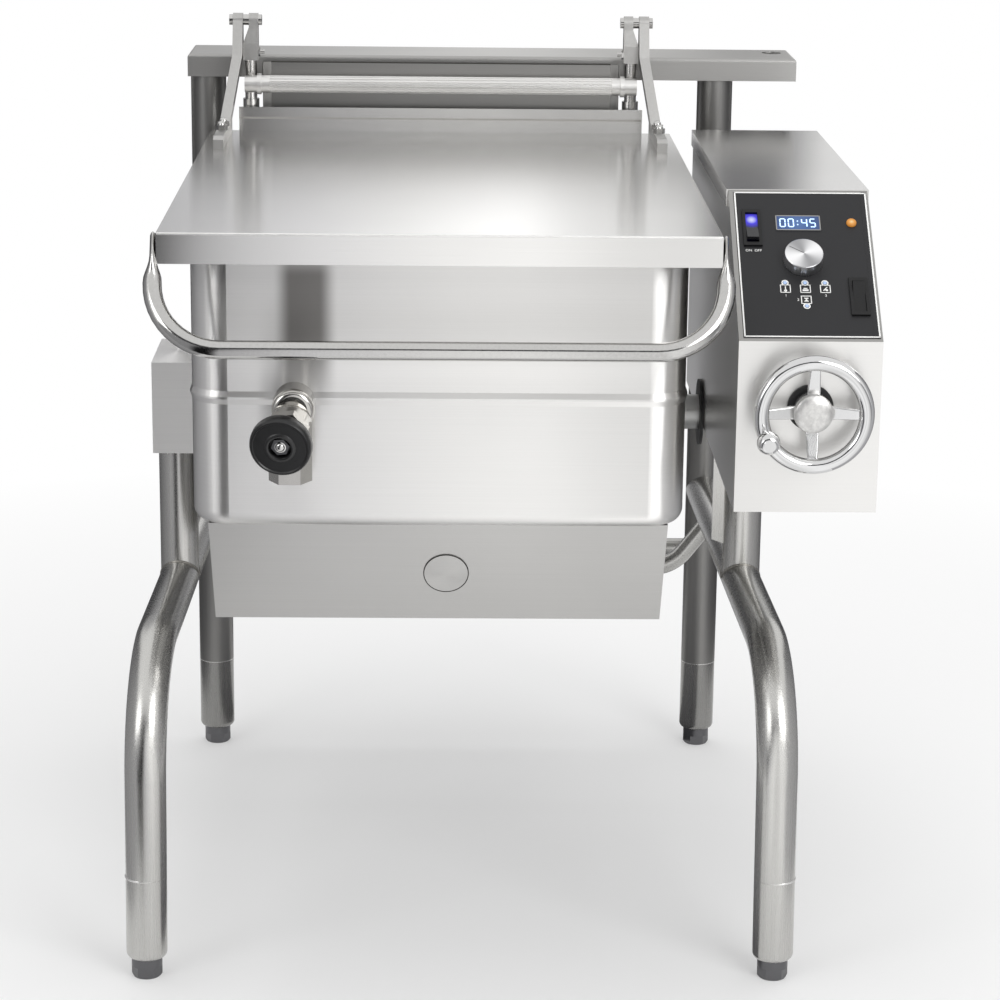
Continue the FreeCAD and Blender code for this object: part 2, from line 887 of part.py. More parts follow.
def worm_shaft():
    tail = block_faces(block_centres()[1])[1] + shaft_tail
    head = handwheel_y + handwheel_dish - handwheel_hub_length / 2.0
    shaft = rod(worm_shaft_radius, worm_point(head), worm_point(tail))
    core = rod(worm_pitch_radius - worm_dedendum, worm_point(post_y - worm_length / 2.0),
               worm_point(post_y + worm_length / 2.0))
    inner = block_faces(block_centres()[0])[1] + loose_clearance
    outer = block_faces(block_centres()[1])[0] - loose_clearance
    shoulders = rod(worm_shoulder_radius, worm_point(inner), worm_point(outer))
    return shaft.fuse(core).fuse(shoulders).fuse(worm_thread())


def worm_bracket():
    plate_x = wheel_x + bracket_offset
    floor = console_bottom + console_sheet
    top = worm_z() + block_half_height
    front, rear = block_centres()
    front = front - block_thickness / 2.0
    rear = rear + block_thickness / 2.0
    bracket = box(plate_x, plate_x + bracket_sheet, front, rear, floor, top)
    bracket = bracket.fuse(box(plate_x, plate_x + bracket_foot, front, rear, floor,
                               floor + bracket_sheet))
    for centre in block_centres():
        y0, y1 = block_faces(centre)
        block = box(wheel_x - block_half_width, plate_x, y0, y1, worm_z() - block_half_height, top)
        bore = rod(worm_shaft_radius + worm_bush_wall, worm_point(y0), worm_point(y1))
        bracket = bracket.fuse(block).cut(bore)
    return bracket


def worm_bushes():
    bushes = []
    for centre in block_centres():
        y0, y1 = block_faces(centre)
        bushes.append(pipe(worm_shaft_radius + worm_bush_wall,
                           worm_shaft_radius + running_clearance, worm_point(y0),
                           worm_point(y1)))
    return bushes


# Handwheel: chromed rim, four dished spokes, hub, and a spinning crank knob.


def crank_point(y):
    turn = math.radians(crank_angle)
    return V(wheel_x + handwheel_ring_radius * math.cos(turn), y,
             worm_z() + handwheel_ring_radius * math.sin(turn))


def spoke(turn):
    hub_y = handwheel_y + handwheel_dish
    half = spoke_thickness / 2.0
    outlines = []
    for reach, y, width in ((handwheel_hub_radius / 2.0, hub_y, spoke_hub_width),
                            (handwheel_ring_radius, handwheel_y, spoke_rim_width)):
        ring = [V(reach, y - half, -width / 2.0), V(reach, y - half, width / 2.0),
                V(reach, y + half, width / 2.0), V(reach, y + half, -width / 2.0)]
        outlines.append(Part.makePolygon(ring + ring[:1]))
    arm = Part.makeLoft(outlines, True, True)
    arm = arm.makeFillet(spoke_thickness / 4.0, [e for e in arm.Edges if e.Length > half * 4])
    return placed(arm, FreeCAD.Placement(worm_point(0), FreeCAD.Rotation(Y_DIR, turn)))


def handwheel():
    wheel = Part.makeTorus(handwheel_ring_radius, handwheel_rim_radius, worm_point(handwheel_y),
                           Y_DIR)
    wheel.rotate(worm_point(handwheel_y), Y_DIR, 180.0 / spoke_count)
    hub_y = handwheel_y + handwheel_dish
    half = handwheel_hub_length / 2.0
    hub = rod(handwheel_hub_radius, worm_point(hub_y - half), worm_point(hub_y + half))
    front = [e for e in hub.Edges if e.BoundBox.YMax < hub_y]
    wheel = wheel.fuse(hub.makeFillet(half / 2.0, front))
    for i in range(spoke_count):
        wheel = wheel.fuse(spoke(i * 360.0 / spoke_count))
    return wheel.cut(rod(worm_shaft_radius, worm_point(-far), worm_point(far)))


def crank_front():
    return handwheel_y - handwheel_rim_radius - crank_knob_gap - crank_knob_length


def crank_stud():
    head = crank_front() - crank_head_height
    shank = rod(crank_stud_radius, crank_point(head), crank_point(handwheel_y))
    cap = rod(crank_stud_radius + crank_head_height, crank_point(head),
              crank_point(crank_front() - loose_clearance))
    neck = rod(crank_neck_radius, crank_point(handwheel_y),
               crank_point(handwheel_y - handwheel_rim_radius - crank_knob_gap
                           + loose_clearance))
    return shank.fuse(cap).fuse(neck)


def crank_knob():
    length = crank_knob_length
    bore = crank_stud_radius + running_clearance
    radius = crank_knob_radius
    outline = [V(bore, 0, 0), V(radius * 0.8, 0, 0)]
    edges = [Part.LineSegment(outline[0], outline[1]).toShape(),
             Part.Arc(V(radius * 0.8, 0, 0), V(radius, 0, length * 0.45),
                      V(radius * 0.72, 0, length)).toShape(),
             Part.LineSegment(V(radius * 0.72, 0, length), V(bore, 0, length)).toShape(),
             Part.LineSegment(V(bore, 0, length), V(bore, 0, 0)).toShape()]
    knob = Part.Face(Part.Wire(edges)).revolve(V(0, 0, 0), Z_DIR, 360)
    turn = FreeCAD.Rotation(Z_DIR, Y_DIR)
    knob.Placement = FreeCAD.Placement(crank_point(crank_front()), turn)
    return knob


def shaft_grommet():
    return pipe(grommet_radius, worm_shaft_radius + loose_clearance,
                worm_point(console_front - grommet_thickness), worm_point(console_front))


# Console: folded body, top cover, sloping control panel with its label and controls.


def console_right():
    return console_left + console_width


def slope_angle():
    return math.atan2(console_top - console_break_z, console_top_front - console_front)


def slope_length():
    return math.hypot(console_top - console_break_z, console_top_front - console_front)


def on_panel(shape):
    tilt = FreeCAD.Rotation(X_DIR, math.degrees(slope_angle()))
    return placed(shape, FreeCAD.Placement(V(0, console_front, console_break_z), tilt))


def panel_box(x, v, width, length, z0, z1):
    return box(x - width / 2.0, x + width / 2.0, v - length / 2.0, v + length / 2.0, z0, z1)


def console_profile(inset):
    top = console_top - console_sheet
    rise = math.tan(slope_angle())
    normal = console_sheet / math.cos(slope_angle()) * inset
    front = console_front + console_sheet * inset
    upper = top - console_sheet * inset
    shoulder = console_front + (upper + normal - console_break_z) / rise
    return [(front, console_bottom + console_sheet * inset),
            (front, console_break_z + (front - console_front) * rise - normal),
            (shoulder, upper), (console_back - console_sheet * inset, upper),
            (console_back - console_sheet * inset, console_bottom + console_sheet * inset)]


def panel_plate():
    upper = slope_length() - console_sheet
    return on_panel(box(console_left, console_right(), 0, upper, -console_sheet, 0))


def console_body():
    x0 = console_left
    x1 = console_right()
    sheet = console_sheet
    body = side_prism(console_profile(0), x0, x1)
    body = body.cut(side_prism(console_profile(1), x0 + sheet, x1 - sheet))
    body = body.cut(box(x0 + sheet, x1 - sheet, console_top_front, console_back - sheet,
                        console_top - 2.5 * sheet, console_top))
    body = body.cut(panel_plate())
    bearing = box(x0 + sheet, wheel_x + bracket_offset, post_y - barrel_radius - sheet,
                  post_y + barrel_radius + sheet, console_bottom - 1, console_bottom + sheet)
    notch = rod(trunnion_radius + sheet, axis_point(x0 - 1), axis_point(x0 + sheet + 1))
    drop = box(x0 - 1, x0 + sheet + 1, post_y - trunnion_radius - sheet,
               post_y + trunnion_radius + sheet, console_bottom - 1, trunnion_z)
    shaft = rod(worm_shaft_radius + worm_bush_wall, worm_point(console_front - 1),
                worm_point(console_front + sheet + 1))
    return body.cut(bearing).cut(notch).cut(drop).cut(shaft)


def console_cover():
    x0 = console_left - cover_gap - console_sheet
    x1 = console_right() + cover_gap + console_sheet
    back = console_back + cover_gap + console_sheet
    cover = box(x0, x1, console_top_front, back, console_top - cover_flange, console_top)
    hollow = box(x0 + console_sheet, x1 - console_sheet, console_top_front - 1,
                 back - console_sheet, console_top - cover_flange, console_top - console_sheet)
    return cover.cut(hollow)


def control_panel():
    plate = panel_plate()
    for x, v in ((power_rocker_x, power_rocker_v), (mode_rocker_x, mode_rocker_v)):
        plate = plate.cut(on_panel(rocker_hole(x, v, -console_sheet - 1, 1)))
    display = panel_box(display_x, display_v, display_width * 0.9, display_height * 0.8,
                        -console_sheet - 1, 1)
    shaft = rod(temp_shaft_radius + loose_clearance, V(temp_knob_x, temp_knob_v, -far),
                V(temp_knob_x, temp_knob_v, far))
    return plate.cut(on_panel(display)).cut(on_panel(shaft)).cut(on_panel(lamp_hole()))


def lamp_hole():
    return rod(lamp_radius / 2.0, V(lamp_x, lamp_v, -console_sheet - 1), V(lamp_x, lamp_v, 1))


def rocker_hole(x, v, z0, z1):
    wall = (rocker_bezel_width - rocker_width) / 4.0
    return panel_box(x, v, rocker_bezel_width - 2 * wall, rocker_bezel_length - 2 * wall, z0, z1)


def panel_label():
    label = box(console_left + label_margin_left, console_right() - label_margin_right,
                label_margin_end, slope_length() - label_margin_end, 0, label_thickness)
    label = label.cut(panel_box(display_x, display_v, display_width, display_height, -1, 1))
    for x, v in ((power_rocker_x, power_rocker_v), (mode_rocker_x, mode_rocker_v)):
        label = label.cut(rocker_hole(x, v, -1, 1))
    shaft = rod(temp_shaft_radius + loose_clearance, V(temp_knob_x, temp_knob_v, -1),
                V(temp_knob_x, temp_knob_v, 1))
    return on_panel(label.cut(shaft).cut(lamp_hole()))


def rocker_window_length():
    corner = math.hypot(rocker_half_length, rocker_rise + rocker_pivot_depth)
    return 2.0 * (corner + loose_clearance)


def rocker_bezel(x, v):
    top = label_thickness + rocker_bezel_height
    rim = panel_box(x, v, rocker_bezel_width, rocker_bezel_length, label_thickness, top)
    body = rocker_hole(x, v, -rocker_body_depth, top)
    well = panel_box(x, v, rocker_width + 2 * loose_clearance, rocker_window_length(),
                     -rocker_body_depth + console_sheet, top + 1)
    pin = rod(rocker_pin_radius + running_clearance,
              V(x - rocker_width / 2.0 - rocker_pin_length - loose_clearance, v,
                -rocker_pivot_depth),
              V(x + rocker_width / 2.0 + rocker_pin_length + loose_clearance, v,
                -rocker_pivot_depth))
    return on_panel(rim.fuse(body).cut(well).cut(pin))


def rocker_bezels():
    return group([rocker_bezel(power_rocker_x, power_rocker_v),
                  rocker_bezel(mode_rocker_x, mode_rocker_v)])


def rocker(x, v, tilt):
    end = rocker_half_length
    pivot = rocker_pivot_depth
    profile = [(-end, 0), (-end, rocker_rise), (0, rocker_rise - rocker_dip), (end, rocker_rise),
               (end, 0), (end * 0.6, -pivot), (end * 0.4, -2 * pivot), (-end * 0.4, -2 * pivot),
               (-end * 0.6, -pivot)]
    paddle = side_prism(profile, -rocker_width / 2.0, rocker_width / 2.0)
    reach = rocker_width / 2.0 + rocker_pin_length
    pin = rod(rocker_pin_radius, V(-reach, 0, -pivot), V(reach, 0, -pivot))
    paddle = paddle.fuse(pin)
    paddle.rotate(V(0, 0, -pivot), X_DIR, tilt)
    paddle.translate(V(x, v, 0))
    return on_panel(paddle)


def display_window():
    seat = panel_box(display_x, display_v, display_width, display_height, 0, display_rise)
    return on_panel(seat)


def pilot_lamp():
    centre = V(lamp_x, lamp_v, label_thickness)
    lens = rod(lamp_radius, centre, centre + Z_DIR * lamp_rise)
    rim = [e for e in lens.Edges if e.BoundBox.ZMin > label_thickness + 1]
    lens = lens.makeFillet(lamp_rise / 2.0, rim)
    body = rod(lamp_radius / 2.0, V(lamp_x, lamp_v, -board_depth), centre)
    return on_panel(lens.fuse(body))


def indicator_leds():
    lenses = []
    spots = [(temp_knob_x + i * led_spacing, led_upper_v) for i in (-1, 0, 1)]
    for x, v in spots + [(temp_knob_x, led_lower_v)]:
        base = V(x, v, label_thickness)
        lenses.append(on_panel(rod(led_radius, base, base + Z_DIR * led_rise)))
    return group(lenses)


def control_board():
    top = -board_depth
    half = rocker_bezel_width + display_width
    board = panel_box(temp_knob_x, (temp_knob_v + lamp_v) / 2.0, console_width * 0.8,
                      slope_length() * 0.5, top - board_thickness, top)
    module = panel_box(display_x, display_v, display_width * 0.8, display_height * 0.7, top, 0)
    encoder = panel_box(temp_knob_x, temp_knob_v, temp_knob_radius, temp_knob_radius, top,
                        -console_sheet)
    bore = rod(temp_shaft_radius + running_clearance,
               V(temp_knob_x, temp_knob_v, top + half / 10.0), V(temp_knob_x, temp_knob_v, 0))
    return on_panel(board.fuse(module).fuse(encoder).cut(bore))


def temp_knob():
    base = label_thickness + loose_clearance
    top = base + temp_knob_height
    centre = V(temp_knob_x, temp_knob_v, base)
    tip = V(temp_knob_x, temp_knob_v, top)
    knob = rod(temp_knob_radius, centre, tip)
    edge = [e for e in knob.Edges if e.BoundBox.ZMin > top - 1]
    knob = knob.makeChamfer(1.2, edge)
    for i in range(temp_knob_flutes):
        turn = math.radians(i * 360.0 / temp_knob_flutes)
        spot = centre + V(temp_knob_radius * math.cos(turn), temp_knob_radius * math.sin(turn),
                          temp_knob_skirt)
        knob = knob.cut(rod(temp_knob_flute_radius, spot, spot + V(0, 0, temp_knob_height)))
    shaft = rod(temp_shaft_radius, V(temp_knob_x, temp_knob_v, -board_depth / 2.0), centre)
    return on_panel(knob.fuse(shaft))


# Lid: a shallow tray upside down, with an upstand at the rear and a tubular lift handle.


def lid_shell():
    back = lid_front + lid_length
    bottom = lid_top - lid_skirt
    sheet = lid_sheet
    shell = box(pan_x - lid_half_width, pan_x + lid_half_width, lid_front, back, bottom, lid_top)
    hollow = box(pan_x - lid_half_width + sheet, pan_x + lid_half_width - sheet,
                 lid_front + sheet, back + 1, bottom, lid_top - sheet)
    step = lid_top + upstand_step_height
    top = lid_top + upstand_height
    face = back - upstand_step
    points = [(back, lid_top - sheet), (back, step), (face, step + upstand_step), (face, top),
              (face - sheet, top), (face - sheet, step + upstand_step - sheet / 2.0),
              (back - sheet, step - sheet / 2.0), (back - sheet, lid_top - sheet)]
    upstand = side_prism(points, pan_x - upstand_half_width, pan_x + upstand_half_width)
    return shell.cut(hollow).fuse(upstand)


def arm_section(inner, y0, y1, z):
    x0 = pan_x + inner
    x1 = x0 + arm_thickness
    ring = [V(x0, y0, z), V(x1, y0, z), V(x1, y1, z), V(x0, y1, z)]
    return Part.makePolygon(ring + ring[:1])


def lid_arm():
    eye_y0 = lid_pivot_y - arm_eye_radius
    eye_y1 = lid_pivot_y + arm_eye_radius
    eye = rod(arm_eye_radius, V(pan_x + arm_top_inner, lid_pivot_y, lid_pivot_z),
              V(pan_x + arm_top_inner + arm_thickness, lid_pivot_y, lid_pivot_z))
    upper = Part.makeLoft([arm_section(arm_top_inner, eye_y0, eye_y1, lid_pivot_z),
                           arm_section(arm_top_inner, eye_y0 - 2 * arm_eye_radius, eye_y1,
                                       arm_knee_z)], True, True)
    root = lid_top + arm_foot_height
    lower = Part.makeLoft([arm_section(arm_top_inner, eye_y0 - 2 * arm_eye_radius, eye_y1,
                                       arm_knee_z),
                           arm_section(arm_foot_inner, arm_root_front, arm_root_back, root)],
                          True, True)
    nose = arm_foot_front + arm_foot_nose
    x0 = pan_x + arm_foot_inner
    bar = side_prism([(arm_foot_front, lid_top), (arm_foot_front, root - arm_foot_nose / 2.0),
                      (nose, root), (arm_root_back, root), (arm_root_back, lid_top)], x0,
                     x0 + arm_thickness)
    arm = eye.fuse(upper).fuse(lower).fuse(bar)
    bore = rod(pin_radius + running_clearance,
               V(pan_x + arm_top_inner - 1, lid_pivot_y, lid_pivot_z),
               V(pan_x + arm_top_inner + arm_thickness + 1, lid_pivot_y, lid_pivot_z))
    return arm.cut(bore)


def arm_nuts():
    nuts = []
    top = lid_top + arm_foot_height
    x = pan_x + arm_foot_inner + arm_thickness / 2.0
    for y in (arm_root_front - arm_nut_back, arm_root_front - arm_nut_back - arm_nut_spacing):
        base = V(x, y, top)
        nut = hexagon(arm_nut_flats, base, Z_DIR, arm_nut_height)
        dome = Part.makeSphere(arm_nut_flats / 2.0 * 0.8, base + Z_DIR * arm_nut_height)
        below = box(x - far, x + far, y - far, y + far, -far, top + arm_nut_height)
        nut = nut.fuse(dome.cut(below))
        nuts.append(nut)
        nuts.append(mirrored(nut, pan_x))
    return group(nuts)


def handle_line(side):
    drop = V(0, handle_bar_y - handle_root_y, handle_bar_z - handle_root_z)
    reach = lid_half_width + handle_strap_thickness / 2.0
    root = V(pan_x + side * reach, handle_root_y, handle_root_z)
    return root, drop


def oriented_ring(centre, along, x_half, depth_half):
    across = X_DIR.cross(along).normalize()
    corners = [centre + X_DIR * x_half + across * depth_half,
               centre - X_DIR * x_half + across * depth_half,
               centre - X_DIR * x_half - across * depth_half,
               centre + X_DIR * x_half - across * depth_half]
    return Part.makePolygon(corners + corners[:1])


def handle_end(side):
    root, drop = handle_line(side)
    along = V(drop).normalize()
    half = handle_strap_thickness / 2.0
    top = root - along * handle_strap_above
    neck = root + along * handle_strap_below
    flat = [oriented_ring(top, along, half, handle_strap_width / 2.0),
            oriented_ring(neck, along, half, handle_strap_width / 2.0)]
    strap = Part.makeLoft(flat, True, True)
    start = neck + along * handle_transition
    ring = Part.Wire(Part.Circle(start, along, handle_radius).toShape())
    swell = Part.makeLoft([flat[1], ring], True, False)
    return strap.fuse(swell), start


def lid_handle():
    left_end, left = handle_end(-1)
    right_end, right = handle_end(1)
    root, drop = handle_line(-1)
    points = [left, root + drop, handle_line(1)[0] + drop, right]
    bar = bent_rod(points, handle_corner_radius, handle_radius)
    return bar.fuse(left_end).fuse(right_end)


# Lid hinge: posts in sockets on the pan's rear wall, pivot heads, and the spring tube.


def post_line(z):
    return V(pan_x + post_rel, lid_pivot_y, z)


def both_sides(shape):
    return [shape, mirrored(shape, pan_x)]


def hinge_posts():
    return both_sides(rod(post_radius, post_line(socket_bottom), post_line(head_neck_z)))


def hinge_sockets():
    sleeve = rod(socket_radius, post_line(socket_bottom), post_line(socket_top))
    back = pan_front + pan_length
    x = pan_x + post_rel
    middle = (socket_bottom + socket_top - rim_overhang * 4) / 2.0
    bracket = box(x - post_bracket_width / 2.0, x + post_bracket_width / 2.0, back, lid_pivot_y,
                  middle - post_bracket_height / 2.0, middle + post_bracket_height / 2.0)
    bead = box(x - post_bracket_width, x + post_bracket_width, back, back + bead_depth,
               bead_z - bead_height / 2.0, bead_z + bead_height / 2.0)
    bore = rod(post_radius, post_line(socket_bottom - 1), post_line(socket_top + 1))
    return both_sides(sleeve.fuse(bracket).cut(bead).cut(bore))


def head_section(outer, depth, z):
    x0 = pan_x + head_inner
    x1 = pan_x + outer
    y0 = lid_pivot_y - depth / 2.0
    y1 = lid_pivot_y + depth / 2.0
    ring = [V(x0, y0, z), V(x1, y0, z), V(x1, y1, z), V(x0, y1, z)]
    return Part.makePolygon(ring + ring[:1])


def hinge_heads():
    eye_depth = 2 * arm_eye_radius
    socket = Part.makeLoft([head_section(head_outer, head_depth, head_bottom),
                            head_section(head_outer, head_depth, head_neck_z)], True, True)
    neck = Part.makeLoft([head_section(head_outer, head_depth, head_neck_z),
                          head_section(head_eye_outer, eye_depth, lid_pivot_z - arm_eye_radius),
                          head_section(head_eye_outer, eye_depth, lid_pivot_z)], True, True)
    eye = rod(arm_eye_radius, V(pan_x + head_inner, lid_pivot_y, lid_pivot_z),
              V(pan_x + head_eye_outer, lid_pivot_y, lid_pivot_z))
    bore = rod(pin_radius, V(pan_x + head_inner - 1, lid_pivot_y, lid_pivot_z),
               V(pan_x + head_eye_outer + 1, lid_pivot_y, lid_pivot_z))
    post = rod(post_radius, post_line(0), post_line(head_neck_z))
    return both_sides(socket.fuse(neck).fuse(eye).cut(bore).cut(post))


def hinge_pins():
    start = pan_x + head_inner - pin_head_height
    end = pan_x + arm_top_inner + arm_thickness + loose_clearance
    pin = rod(pin_radius, V(start, lid_pivot_y, lid_pivot_z),
              V(end + pin_head_height, lid_pivot_y, lid_pivot_z))
    head = rod(pin_head_radius, V(start, lid_pivot_y, lid_pivot_z),
               V(pan_x + head_inner, lid_pivot_y, lid_pivot_z))
    tail = rod(pin_head_radius, V(end, lid_pivot_y, lid_pivot_z),
               V(end + pin_head_height, lid_pivot_y, lid_pivot_z))
    return both_sides(pin.fuse(head).fuse(tail))


def hinge_spacers():
    return both_sides(pipe(pin_head_radius, pin_radius,
                           V(pan_x + head_eye_outer, lid_pivot_y, lid_pivot_z),
                           V(pan_x + arm_top_inner - loose_clearance, lid_pivot_y, lid_pivot_z)))


def pinch_bolts():
    z = (head_bottom + head_neck_z) / 2.0
    x0 = pan_x + head_inner - pinch_bolt_reach
    x1 = pan_x + post_rel - post_radius
    y = lid_pivot_y - head_depth / 2.0 + pinch_bolt_radius * 2.0
    nut = hexagon(pinch_bolt_radius * 4.0, V(pan_x + head_inner - pinch_bolt_radius, y, z),
                  X_DIR, pinch_bolt_radius)
    return both_sides(rod(pinch_bolt_radius, V(x0, y, z), V(pan_x + head_inner, y, z)).fuse(nut))


def spring_tube_y():
    return lid_pivot_y - post_radius - spring_tube_radius - running_clearance


def spring_point(rel):
    return V(pan_x + rel, spring_tube_y(), spring_tube_z)


def spring_tube():
    tube = rod(spring_tube_radius, spring_point(-spring_tube_end), spring_point(spring_tube_end))
    reach = collar_inner - collar_width
    for i in range(spring_tube_flutes):
        turn = math.radians(i * 360.0 / spring_tube_flutes)
        lift = V(0, spring_tube_radius * math.cos(turn), spring_tube_radius * math.sin(turn))
        tube = tube.cut(rod(flute_radius, spring_point(-reach) + lift, spring_point(reach) + lift))
    return tube


def spring_tube_collars():
    return both_sides(pipe(collar_radius, spring_tube_radius, spring_point(collar_inner),
                           spring_point(collar_inner + collar_width / 2.0)))


# Draw-off valve: nipple through the jacket, angled stem with its knob, hex outlet below.


def stem_direction():
    yaw = math.radians(stem_yaw)
    pitch = math.radians(stem_pitch)
    return V(-math.sin(yaw) * math.cos(pitch), -math.cos(yaw) * math.cos(pitch),
             -math.sin(pitch))


def stem_at(distance):
    return V(*stem_point) + stem_direction() * distance


def nipple_line(y):
    return V(valve_x, y, valve_z)


def valve_body():
    seat = pan_front + jacket_sheet + jacket_gap
    tip = pan_front - nipple_reach
    nipple = rod(nipple_radius, nipple_line(tip), nipple_line(seat))
    edge = [e for e in nipple.Edges if e.BoundBox.YMax < tip + 1]
    nipple = nipple.makeFillet(nipple_radius / 3.0, edge)
    barrel = rod(valve_barrel_radius, stem_at(-valve_barrel_back), stem_at(valve_barrel_front))
    bonnet = hexagon(bonnet_flats, stem_at(valve_barrel_front), stem_direction(), bonnet_length)
    axis = V(*stem_point)
    outlet = hexagon(outlet_flats, V(axis.x, axis.y, outlet_bottom), Z_DIR,
                     axis.z - outlet_bottom)
    body = nipple.fuse(barrel).fuse(bonnet).fuse(outlet)
    bore = rod(nipple_bore, nipple_line(tip + nipple_radius / 2.0), nipple_line(seat))
    chamber = rod(valve_bore, stem_at(-valve_barrel_back), stem_at(valve_barrel_front))
    drain = rod(outlet_bore, V(axis.x, axis.y, outlet_bottom), axis)
    gland = rod(stem_radius + running_clearance, stem_at(0),
                stem_at(valve_barrel_front + bonnet_length))
    return body.cut(bore).cut(chamber).cut(drain).cut(gland)


def plug_face():
    return valve_barrel_front - plug_lift - plug_thickness - loose_clearance


def valve_plug():
    base = stem_at(plug_face())
    plug = rod(plug_radius, base, stem_at(plug_face() + plug_thickness))
    socket = rod(stem_radius + running_clearance, stem_at(plug_face() + plug_thickness / 2.0),
                 stem_at(plug_face() + plug_thickness))
    return plug.cut(socket)


def knob_back():
    return valve_barrel_front + bonnet_length + knob_gap


def valve_stem():
    return rod(stem_radius, stem_at(plug_face() + plug_thickness / 2.0 + loose_clearance),
               stem_at(knob_back() + knob_length - knob_recess_depth + knob_nut_height))


def valve_knob():
    radius = knob_radius
    length = knob_length
    rim = length * 0.3
    profile = [V(0, 0, 0), V(radius * 0.35, 0, 0), V(radius * 0.45, 0, rim),
               V(radius * 0.9, 0, rim), V(radius, 0, rim * 1.3), V(radius, 0, length * 0.8),
               V(radius * 0.93, 0, length * 0.95), V(radius * 0.85, 0, length),
               V(0, 0, length)]
    knob = Part.Face(Part.makePolygon(profile + profile[:1])).revolve(V(0, 0, 0), Z_DIR, 360)
    for i in range(knob_scallops):
        turn = math.radians(i * 360.0 / knob_scallops)
        reach = radius + knob_scallop_radius * 0.75
        spot = V(reach * math.cos(turn), reach * math.sin(turn), 0)
        knob = knob.cut(rod(knob_scallop_radius, spot, spot + V(0, 0, length)))
    recess = rod(knob_recess_radius, V(0, 0, length - knob_recess_depth), V(0, 0, length))
    bore = rod(stem_radius, V(0, 0, 0), V(0, 0, length))
    knob = knob.cut(recess).cut(bore)
    turn = FreeCAD.Rotation(Z_DIR, stem_direction())
    knob.Placement = FreeCAD.Placement(stem_at(knob_back()), turn)
    return knob


def valve_knob_nut():
    start = stem_at(knob_back() + knob_length - knob_recess_depth)
    nut = hexagon(knob_nut_flats + stem_radius, start, stem_direction(), knob_nut_height)
    return nut.cut(rod(stem_radius, start, start + stem_direction() * far))


parts = {
    "side_frame_left": side_frame(-1),
    "side_frame_right": side_frame(1),
    "rear_leg_left": rear_leg(-1),
    "rear_leg_right": rear_leg(1),
    "mid_post_left": mid_post(-1),
    "mid_post_right": mid_post(1).fuse(post_gusset()),
    "rear_cross_rail": rear_cross_rail(),
    "curved_brace": curved_brace(),
    "leg_ends": leg_ends(),
    "foot_front_left": foot(leg_axes()[0]),
    "foot_front_right": foot(leg_axes()[1]),
    "foot_rear_left": foot(leg_axes()[2]),
    "foot_rear_right": foot(leg_axes()[3]),
    "top_beam": top_beam(),
    "bearing_housing_left": bearing_housing_left(),
    "bearing_housing_right": bearing_housing_right(),
    "bearing_box_left": bearing_box_left(),
    "trunnion_seal": trunnion_seal(),
    "pan_jacket": pan_jacket(),
    "pan_vessel": pan_vessel(),
    "heating_elements": group(heating_elements() + element_clamps()),
    "shroud": shroud(),
    "knockout_disc": knockout_disc(),
    "trunnion_left": trunnion_left(),
    "trunnion_right": trunnion_right(),
    "worm_sector": worm_sector(),
    "sector_nut": sector_nut(),
    "worm_shaft": worm_shaft(),
    "worm_bracket": worm_bracket(),
    "bronze_bushes": group(bearing_bushes() + worm_bushes()),
    "handwheel": handwheel().fuse(crank_stud()),
    "crank_knob": crank_knob(),
    "shaft_grommet": shaft_grommet(),
    "console_body": console_body(),
    "console_cover": console_cover(),
    "control_panel": control_panel(),
    "panel_label": panel_label(),
    "rocker_bezels": rocker_bezels(),
    "rocker_power": rocker(power_rocker_x, power_rocker_v, -rocker_tilt),
    "rocker_mode": rocker(mode_rocker_x, mode_rocker_v, rocker_tilt),
    "display_window": display_window(),
    "pilot_lamp": pilot_lamp(),
    "indicator_leds": indicator_leds(),
    "control_board": control_board(),
    "temp_knob": temp_knob(),
    "lid_shell": lid_shell(),
    "lid_arms": group(both_sides(lid_arm())),
    "arm_nuts": arm_nuts(),
    "lid_handle": lid_handle(),
    "hinge_posts": group(hinge_posts()),
    "hinge_sockets": group(hinge_sockets()),
    "hinge_heads": group(hinge_heads()),
    "hinge_pins": group(hinge_pins() + pinch_bolts()),
    "hinge_spacers": group(hinge_spacers()),
    "spring_tube": group([spring_tube()] + spring_tube_collars()),
    "valve_body": valve_body(),
    "valve_plug": valve_plug(),
    "valve_stem": group([valve_stem(), valve_knob_nut()]),
    "valve_knob": valve_knob(),
}

# The origin goes to the floor under the middle of the whole skillet.
extent = FreeCAD.BoundBox()
for shape in parts.values():
    for point in shape.tessellate(0.1)[0]:
        extent.add(point)
to_origin = V(-extent.Center.x, -extent.Center.y, 0)
for name, shape in parts.items():
    shape.translate(to_origin)
    shape.exportStep("parts/" + name + ".step")
print("origin shift", to_origin)
print("extent", extent)
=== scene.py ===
import math

import bmesh
import bpy
from mathutils import Matrix, Vector


